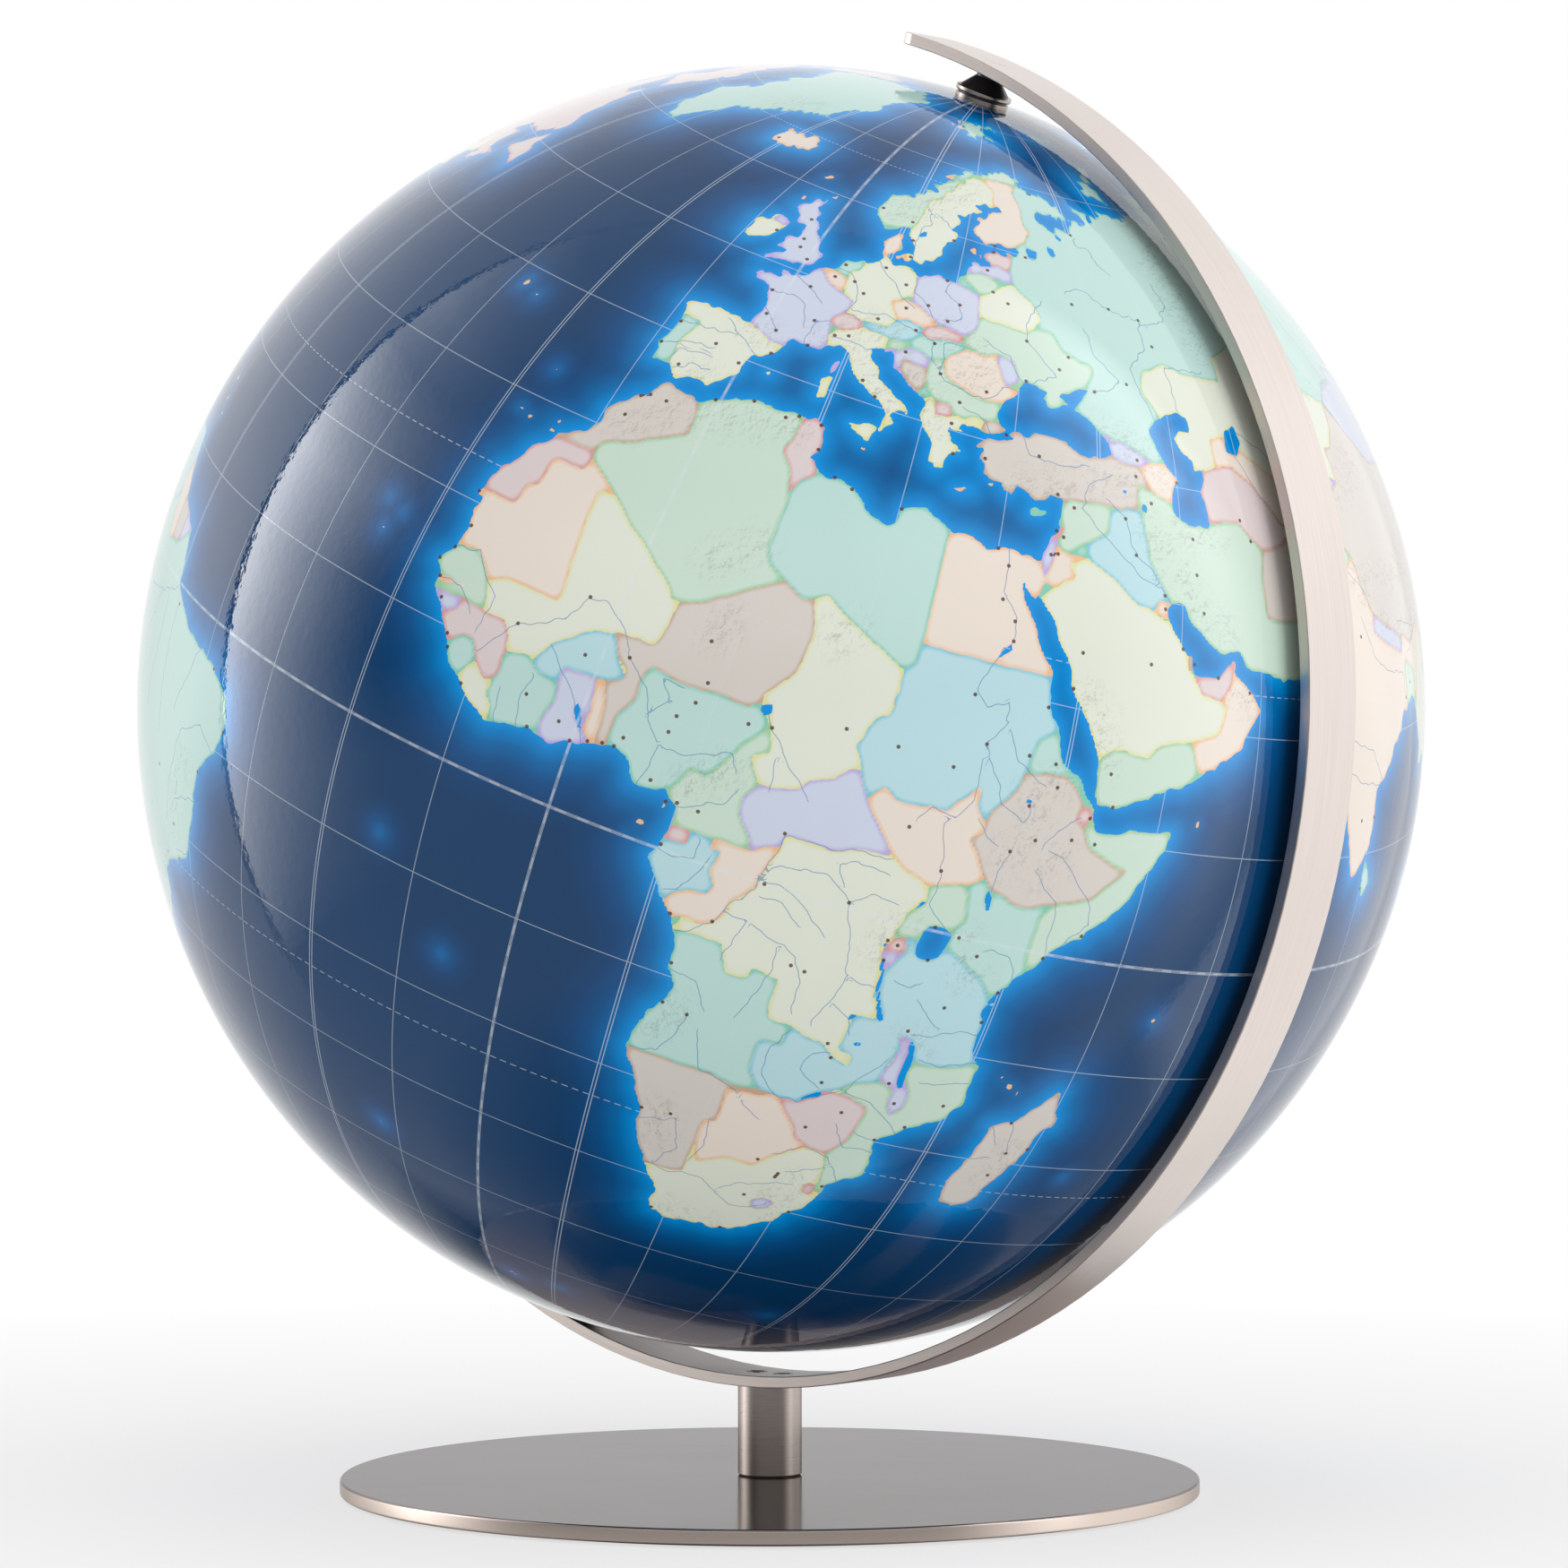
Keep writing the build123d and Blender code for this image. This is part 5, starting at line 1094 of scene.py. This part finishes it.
crest_waves = 0.4
hill_reach = 2.4
crests = np.zeros(knot_shape, bool)
for _, points in outlines(ranges):
    line = hand_drawn(points, crest_waves, closed=False)
    crest_column, crest_row = np.rint((line + (180, 90)) / knot).astype(int).T
    crests[crest_row, crest_column % knot_shape[1]] = True
relief = 1 - degrees_from(crests, hill_reach) / hill_reach

gore_nodes = [f"map_gore_{number:02d}" for number in range(1, 13)]
tilt = math.radians(23.5)
ball_centre = np.array([0.003992, 0.0, 0.208117])
paper_thickness = 0.0004
north_way = np.array([math.sin(tilt), 0, math.cos(tilt)])
belly_way = np.array([math.cos(tilt), 0, -math.sin(tilt)])
side_way = np.cross(north_way, belly_way)
belly_longitude = 67.0
first_seam = 70.0
gore_width = 30.0
last_latitude = 87.9
gore_rows = np.flatnonzero(np.abs(knot_latitude) <= last_latitude + 1e-6)
gore_steps = round(gore_width / knot)
backing_steps = gore_steps // 5


def on_ball(longitude, latitude, radius):
    """Points of the ball, one row each: the cosine of latitude away from the axle and its sine along it,
    times the radius. Longitude turns round the axle, with belly_longitude towards the belly of the bar."""
    turn = np.radians(longitude - belly_longitude)
    lift = np.radians(latitude)
    level = np.cos(turn)[..., None] * belly_way + np.sin(turn)[..., None] * side_way
    way = np.cos(lift)[..., None] * level + np.sin(lift)[..., None] * north_way
    return (ball_centre + radius * way).reshape(-1, 3)


def gore_mesh(name, west):
    """One gore as a closed strip of paper: a fine grid of longitude and latitude outside, a coarse one
    inside, joined by four narrow rims. The print's layers are carried on its vertices."""
    longitude, latitude = np.meshgrid(west + np.arange(gore_steps + 1) * knot, knot_latitude[gore_rows])
    back = np.arange(0, gore_steps + 1, backing_steps)
    inside = on_ball(longitude[:, back], latitude[:, back], ball_radius - paper_thickness)
    points = np.concatenate([on_ball(longitude, latitude, ball_radius), inside])
    outer = np.arange(longitude.size).reshape(longitude.shape)
    inner = longitude.size + np.arange(len(inside)).reshape(len(gore_rows), -1)
    front = np.stack([outer[:-1, :-1], outer[:-1, 1:], outer[1:, 1:], outer[1:, :-1]], -1)
    rear = np.stack([inner[:-1, :-1], inner[1:, :-1], inner[1:, 1:], inner[:-1, 1:]], -1)
    west_rim = np.stack([outer[:-1, 0], outer[1:, 0], inner[1:, 0], inner[:-1, 0]], -1)
    east_rim = np.stack([outer[:-1, -1], inner[:-1, -1], inner[1:, -1], outer[1:, -1]], -1)
    caps = [np.concatenate([inner[0], outer[0, ::-1]]), np.concatenate([outer[-1], inner[-1, ::-1]])]
    quads = np.concatenate([front.reshape(-1, 4), rear.reshape(-1, 4), west_rim, east_rim])
    corners = np.concatenate([quads.ravel(), *caps])
    starts = np.concatenate([np.arange(len(quads)) * 4, [quads.size, quads.size + len(caps[0])]])
    mesh = bpy.data.meshes.new(name)
    mesh.vertices.add(len(points))
    mesh.vertices.foreach_set("co", points.ravel())
    mesh.loops.add(len(corners))
    mesh.loops.foreach_set("vertex_index", corners)
    mesh.polygons.add(len(starts))
    mesh.polygons.foreach_set("loop_start", starts)
    mesh.update(calc_edges=True)
    mesh.shade_smooth()
    mesh.set_sharp_from_angle(angle=math.radians(40))
    columns = np.rint((longitude[0] + 180) / knot).astype(int) % knot_shape[1]
    picked = np.ix_(gore_rows, columns)
    shrink = np.cos(np.radians(latitude)) * millimetres_per_degree
    layers = {
        "place": (longitude, latitude, shrink),
        "tints_a": [tint[picked] for tint in tints[0:3]],
        "tints_b": [tint[picked] for tint in tints[3:6]],
        "tints_c": [tints[6][picked], tints[7][picked], border[picked]],
        "shore": (land[picked], offshore[picked], relief[picked]),
        "streams": (streams[..., 0][picked], streams[..., 1][picked], np.zeros_like(latitude)),
        "dots": [dots[..., axis][picked] for axis in range(3)],
    }
    for layer_name, parts in layers.items():
        values = np.stack(parts, -1)
        values = np.concatenate([values.reshape(-1, 3), values[:, back].reshape(-1, 3)])
        mesh.attributes.new(layer_name, "FLOAT_VECTOR", "POINT").data.foreach_set("vector", values.ravel())
    return mesh


# The print: blue seas that pale towards the coasts, tinted countries with a stronger edge, thin white
# lines of latitude and longitude, blue rivers and dots for towns, all under a clear gloss film.
print_film, tree, finish = new_material("glossy_map_print")


def layer(name):
    """The three values of one of the print's layers."""
    return add(tree, "SeparateXYZ", add(tree, "Attribute", attribute_name=name, out="Vector")).node.outputs


longitude, latitude, shrink = layer("place")
shore, offing, hills = layer("shore")
sea_stops = (
    (0.0, "#0797E6"), (0.10, "#0283CC"), (0.24, "#026AAB"),
    (0.46, "#06508A"), (0.72, "#084274"), (1.0, "#083C68"),
)
sea = add(tree, "ValToRGB", offing)
ramp = sea.node.color_ramp.elements
while len(ramp) < len(sea_stops):
    ramp.new(0.5)
for stop, (position, code) in zip(ramp, sea_stops):
    stop.position = position
    stop.color = srgb(code)
weights = [socket for name in ("tints_a", "tints_b", "tints_c") for socket in layer(name)]
edge_value = weights.pop()
best, *others = weights
tint = srgb(tint_colours[0])
strong = srgb(edge_colours[0])
for weight, code, edge_code in zip(others, tint_colours[1:], edge_colours[1:]):
    wins = add(tree, "Math", weight, best, operation="GREATER_THAN")
    tint = add(tree, "MixRGB", wins, tint, srgb(code))
    strong = add(tree, "MixRGB", wins, strong, srgb(edge_code))
    best = add(tree, "Math", weight, best, operation="MAXIMUM")
band = add(tree, "MapRange", edge_value, 0.52, 0.80, 0.95, 0.0)
country = add(tree, "MixRGB", band, tint, strong)
# Hills are shaded by the slope of a noise, read twice a little apart, and only near the crests.
place = add(tree, "TexCoord", out="Object")
light_side = add(tree, "VectorMath", place, (0.00025, 0.0, -0.0002), operation="ADD")
ridge_size = {"Scale": per_metre(3.2), "Detail": 5.0, "Roughness": 0.62}
ridges = add(tree, "TexNoise", place, named=ridge_size)
slopes = add(tree, "TexNoise", light_side, named=ridge_size)
slope = add(tree, "Math", ridges, slopes, operation="SUBTRACT")
dark_side = add(tree, "MapRange", slope, 0.0, 0.09, 0.0, 0.42)
shaded = add(tree, "Math", dark_side, hills, operation="MULTIPLY")
country = add(tree, "MixRGB", shaded, country, srgb("#7D7670"))
# Offsets are blended between knots, so those that reach knots with a large number are left out.
near_enough = 0.75
bank, water_near, _ = layer("streams")
from_river = add(tree, "Math", bank, operation="ABSOLUTE")
stroke = add(tree, "MapRange", from_river, 0.08, 0.15, 0.7, 0.0)
close_by = add(tree, "Math", water_near, near_enough, operation="LESS_THAN")
stroke = add(tree, "Math", stroke, close_by, operation="MULTIPLY")
country = add(tree, "MixRGB", stroke, country, srgb("#5E86B4"))
is_land = add(tree, "Math", shore, 0.5, operation="GREATER_THAN")
printed = add(tree, "MixRGB", is_land, sea, country)


def white_line(distance, half_width, strength):
    """Factor of a line: strength where distance in mm is under half_width, fading over a third of it."""
    return add(tree, "MapRange", distance, half_width, half_width * 1.35, strength, 0.0)


# The net has a line every ten degrees, twin lines where gores meet, and dashed tropics and polar circles.
thin, thick = 0.10, 0.11
faint, firm = 0.42, 0.5
seam_gap = 0.4
across = add(tree, "Math", longitude, 5.0, operation="PINGPONG")
across = add(tree, "Math", across, shrink, operation="MULTIPLY")
upright = add(tree, "Math", latitude, 5.0, operation="PINGPONG")
upright = add(tree, "Math", upright, millimetres_per_degree, operation="MULTIPLY")
seam = add(tree, "Math", longitude, 10.0, operation="SUBTRACT")
seam = add(tree, "Math", seam, gore_width / 2, operation="PINGPONG")
seam = add(tree, "Math", seam, shrink, operation="MULTIPLY")
twin = add(tree, "Math", seam, seam_gap, operation="SUBTRACT")
twin = add(tree, "Math", twin, operation="ABSOLUTE")
off_seam = add(tree, "Math", seam, 0.6, operation="GREATER_THAN")
lines = add(tree, "Math", white_line(across, thin, faint), off_seam, operation="MULTIPLY")
lines = add(tree, "Math", lines, white_line(upright, thin, faint), operation="MAXIMUM")
lines = add(tree, "Math", lines, white_line(twin, thick, firm), operation="MAXIMUM")
level = add(tree, "Math", latitude, operation="ABSOLUTE")
for circle in (23.44, 66.56):
    gap = add(tree, "Math", level, circle, operation="SUBTRACT")
    gap = add(tree, "Math", gap, operation="ABSOLUTE")
    gap = add(tree, "Math", gap, millimetres_per_degree, operation="MULTIPLY")
    dash = add(tree, "Math", longitude, 0.5, operation="PINGPONG")
    dash = add(tree, "Math", dash, 0.2, operation="GREATER_THAN")
    dashed = add(tree, "Math", white_line(gap, thin, firm), dash, operation="MULTIPLY")
    lines = add(tree, "Math", lines, dashed, operation="MAXIMUM")
quiet = add(tree, "MapRange", is_land, 0.0, 1.0, 1.0, 0.25)
lines = add(tree, "Math", lines, quiet, operation="MULTIPLY")
printed = add(tree, "MixRGB", lines, printed, srgb("#D8E2EC"))
# The equator and the first meridian are ladders: between two rails, every second degree is paler.
equator = add(tree, "Math", level, millimetres_per_degree, operation="MULTIPLY")
meridian = add(tree, "Math", longitude, 180.0, operation="PINGPONG")
meridian = add(tree, "Math", meridian, shrink, operation="MULTIPLY")
for distance, counter in ((equator, longitude), (meridian, latitude)):
    within = add(tree, "Math", distance, 0.38, operation="LESS_THAN")
    degree = add(tree, "Math", counter, 1.0, operation="PINGPONG")
    rung = add(tree, "MapRange", degree, 0.48, 0.52, 0.05, 0.3)
    rail = add(tree, "MapRange", distance, 0.24, 0.28, 0.0, 0.48)
    ladder = add(tree, "Math", rung, rail, operation="MAXIMUM")
    ladder = add(tree, "Math", ladder, within, operation="MULTIPLY")
    printed = add(tree, "MixRGB", ladder, printed, srgb("#DDE5EC"))
east_of, north_of, town_near = layer("dots")
offset = add(tree, "CombineXYZ", east_of, north_of)
from_town = add(tree, "VectorMath", offset, operation="LENGTH", out="Value")
dot = add(tree, "MapRange", from_town, 0.42, 0.55, 0.9, 0.0)
close_by = add(tree, "Math", town_near, near_enough, operation="LESS_THAN")
dot = add(tree, "Math", dot, close_by, operation="MULTIPLY")
printed = add(tree, "MixRGB", dot, printed, srgb("#5A2E22"))
ripple = add(tree, "TexNoise", place, named={"Scale": per_metre(2.5), "Detail": 2.0})
film = add(tree, "Bump", named={"Strength": 0.03, "Distance": 0.001, "Height": ripple})
fill(tree, finish, {
    "Base Color": printed, "Roughness": 0.5, "Specular IOR Level": 0.0,
    "Coat Weight": 1.0, "Coat Roughness": 0.02, "Coat Normal": film,
})

for number, node in enumerate(gore_nodes):
    name = f"printed_gore_{number + 1:02d}"
    gore = bpy.data.objects.new(name, gore_mesh(name, first_seam + number * gore_width))
    gore.data.materials.append(print_film)
    bpy.context.scene.collection.objects.link(gore)
    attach(gore, "globe")
    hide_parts(node)

# Camera: at the photograph's place, in front and to the right, a little below the middle of the ball and
# almost level. Its long lens shows little perspective.
camera_place = (0.924886, -1.084894, 0.175235)
camera_right = Vector((0.7627301, 0.6467168, -0.000398))
camera_up = Vector((0.0062519, -0.0067581, 0.9999576))
camera_forward = Vector((-0.6466867, 0.7627003, 0.0091978))
camera_data = bpy.data.cameras.new("camera")
camera_data.lens = 122.96
camera_data.sensor_width = 36.0
camera = bpy.data.objects.new("camera", camera_data)
turn = Matrix((camera_right, camera_up, -camera_forward)).transposed().to_4x4()
camera.matrix_world = Matrix.Translation(camera_place) @ turn
bpy.context.scene.collection.objects.link(camera)
bpy.context.scene.camera = camera

# Studio: a white floor and backdrop, soft boxes left, right and above, and a dim room behind the camera.
# The world gives even light and shows white to the camera. Gloss sees the studio's walls and panels in it.
world = bpy.data.worlds.new("studio")
bpy.context.scene.world = world
world.use_nodes = True
tree = world.node_tree
tree.nodes.clear()


def studio_level(tree, direction):
    """Brightness of the studio by direction: height is its Z, and turn its angle in degrees, 0 towards the
    camera and positive to the right. A dim room has a weak window behind the camera, a bright panel on the
    left that fades towards the camera and a weaker one on the right, then a white wall on the right and a
    white backdrop. Straight below, the floor is dark, as the plate and the shadow would be."""
    sideways, nearer = (
        add(tree, "VectorMath", direction, tuple(way), operation="DOT_PRODUCT", out="Value")
        for way in (camera_right, -camera_forward)
    )
    turn = add(tree, "Math", sideways, nearer, operation="ARCTAN2")
    turn = add(tree, "Math", turn, math.degrees(1), operation="MULTIPLY")
    height = add(tree, "SeparateXYZ", direction, out="Z")
    spread = add(tree, "Math", turn, operation="ABSOLUTE")
    # Room
    floor_far = add(tree, "MapRange", spread, 140.0, 152.0, 0.5, 0.06)
    floor_dim = add(tree, "MapRange", height, -0.93, -0.7, 0.04, floor_far)
    floor_or_room = add(tree, "MapRange", height, -0.12, 0.1, 1.0, 0.2)
    upper_wall = add(tree, "MapRange", height, 0.14, 0.4, 0.0, 0.22)
    ceiling = add(tree, "MapRange", height, 0.78, 0.9, upper_wall, 0.5)
    room = add(tree, "Math", floor_dim, floor_or_room, ceiling, operation="MULTIPLY_ADD")
    window_side = add(tree, "MapRange", spread, 40.0, 60.0, 1.0, 0.0)
    window_low = add(tree, "MapRange", height, 0.06, 0.2, 0.0, 0.6)
    window_high = add(tree, "MapRange", height, 0.44, 0.6, 1.0, 0.0)
    # Backdrop
    top_fade = add(tree, "MapRange", height, 0.6, 0.95, 1.0, 0.62)
    backdrop_edge = add(tree, "MapRange", spread, 115.1, 115.6, 0.0, 1.0)
    behind = add(tree, "MapRange", height, 0.12, 0.35, 1.0, 1.2)
    flank = add(tree, "MapRange", spread, 122.0, 150.0, 0.75, 0.0)
    flank_top = add(tree, "MapRange", height, 0.25, 0.6, 1.0, 0.0)
    behind = add(tree, "Math", flank, flank_top, behind, operation="MULTIPLY_ADD")
    floor_start = add(tree, "MapRange", sideways, 0.1, 0.35, 0.2, 1.0)
    floor_level = add(tree, "MapRange", height, -0.72, -0.15, floor_start, 1.12)
    floor_end = add(tree, "MapRange", height, -0.15, 0.15, 0.0, 0.85)
    floor_level = add(tree, "Math", floor_level, floor_end, operation="ADD")
    backdrop = add(tree, "Math", behind, floor_level, operation="MINIMUM")
    shade_rise = add(tree, "MapRange", spread, 145.0, 165.0, 0.0, 0.2)
    above_shade = add(tree, "Math", height, shade_rise, operation="SUBTRACT")
    backdrop_low = add(tree, "MapRange", above_shade, -0.7, -0.55, 0.08, 1.0)
    # Right wall
    wall_start = add(tree, "MapRange", turn, 90.0, 97.0, 0.0, 1.35)
    wall_end = add(tree, "MapRange", turn, 150.0, 162.0, 1.0, 0.0)
    wall_low = add(tree, "MapRange", height, -0.72, -0.62, 0.2, 1.0)
    # Left panel
    left_start = add(tree, "MapRange", height, 0.3, 0.75, -72.0, -50.0)
    left_share = add(tree, "MapRange", turn, left_start, -112.0, 0.0, 1.0)
    left_panel = add(tree, "Math", left_share, 1.6, operation="POWER")
    left_edge = add(tree, "MapRange", turn, -114.2, -113.6, 0.0, 6.6)
    left_low = add(tree, "MapRange", height, -0.42, 0.24, 0.0, 1.0)
    left_high = add(tree, "MapRange", height, 0.47, 0.68, 1.0, 0.26)
    left_top = add(tree, "MapRange", height, 0.76, 0.92, 1.0, 0.08)
    # Right panel
    right_start = add(tree, "MapRange", turn, 52.0, 84.0, 0.0, 1.0)
    right_end = add(tree, "MapRange", turn, 86.0, 97.0, 3.5, 0.0)
    right_low = add(tree, "MapRange", height, -0.6, 0.6, 0.1, 1.0)
    right_high = add(tree, "MapRange", height, 0.75, 0.95, 1.0, 0.0)
    for panel, joins, *cuts in (
        (window_side, "ADD", window_low, window_high),
        (left_panel, "ADD", left_edge, left_low, left_high, left_top),
        (right_start, "ADD", right_end, right_low, right_high),
        (wall_start, "MAXIMUM", wall_end, wall_low, top_fade),
        (backdrop, "MAXIMUM", backdrop_edge, backdrop_low, top_fade),
    ):
        for cut in cuts:
            panel = add(tree, "Math", panel, cut, operation="MULTIPLY")
        room = add(tree, "Math", room, panel, operation=joins)
    return room


white = (1, 1, 1, 1)
even_light = (0.6, 0.6, 0.6, 1)
seen = add(tree, "LightPath").node.outputs
room = studio_level(tree, add(tree, "TexCoord", out="Generated"))
ambient = add(tree, "MixRGB", seen["Is Glossy Ray"], even_light, room)
shown = add(tree, "MixRGB", seen["Is Camera Ray"], ambient, white)
add(tree, "OutputWorld", add(tree, "Background", shown, 1.0))


def soft_light(name, place, target, width, height, watts):
    """A rectangular soft box at place, in metres, aimed at target."""
    data = bpy.data.lights.new(name, "AREA")
    data.shape = "RECTANGLE"
    data.size = width
    data.size_y = height
    data.energy = watts
    light = bpy.data.objects.new(name, data)
    aim = (Vector(target) - Vector(place)).to_track_quat("-Z", "Y")
    light.matrix_world = Matrix.Translation(place) @ aim.to_matrix().to_4x4()
    light.visible_glossy = False
    bpy.context.scene.collection.objects.link(light)


middle = Vector((0.0, 0.0, 0.2))
left_place = middle - camera_right * 1.25 - camera_forward * 0.5
right_place = middle + camera_right * 1.2 - camera_forward * 0.9
soft_light("soft_box_left", left_place, middle, width=0.9, height=1.5, watts=5.5)
soft_light("soft_box_right", right_place, middle, width=0.9, height=1.4, watts=12)
soft_light("soft_box_top", (0.3, -0.3, 1.6), middle, width=1.2, height=1.2, watts=5)

# Floor: white paper. To the camera it glows, fully beyond 0.6 m and less near the object, so that the
# shadow shows. Gloss doesn't see it, because the floor in the world stands for it there.
half_side = 8.0
floor_corners = [(x * half_side, y * half_side, 0) for x, y in ((-1, -1), (1, -1), (1, 1), (-1, 1))]
floor_mesh = bpy.data.meshes.new("floor")
floor_mesh.from_pydata(floor_corners, [], [(0, 1, 2, 3)])
floor = bpy.data.objects.new("floor", floor_mesh)
bpy.context.scene.collection.objects.link(floor)
floor_white = bpy.data.materials.new("white_floor")
floor_white.use_nodes = True
tree = floor_white.node_tree
tree.nodes.clear()
seen = add(tree, "LightPath").node.outputs
away = add(tree, "VectorMath", add(tree, "TexCoord", out="Object"), operation="LENGTH", out="Value")
fade = add(tree, "MapRange", away, 0.15, 0.6, 0.65, 1.0)
glow = add(tree, "Math", fade, seen["Is Camera Ray"], operation="MULTIPLY")
glow = add(tree, "Math", seen["Is Diffuse Ray"], 0.35, glow, operation="MULTIPLY_ADD")
paper = add(tree, "BsdfDiffuse", (0.8, 0.8, 0.8, 1))
shine = add(tree, "Emission", white, 1.0)
add(tree, "OutputMaterial", add(tree, "MixShader", glow, paper, shine))
floor_mesh.materials.append(floor_white)
floor.visible_glossy = False

bpy.context.scene.view_settings.view_transform = "Standard"
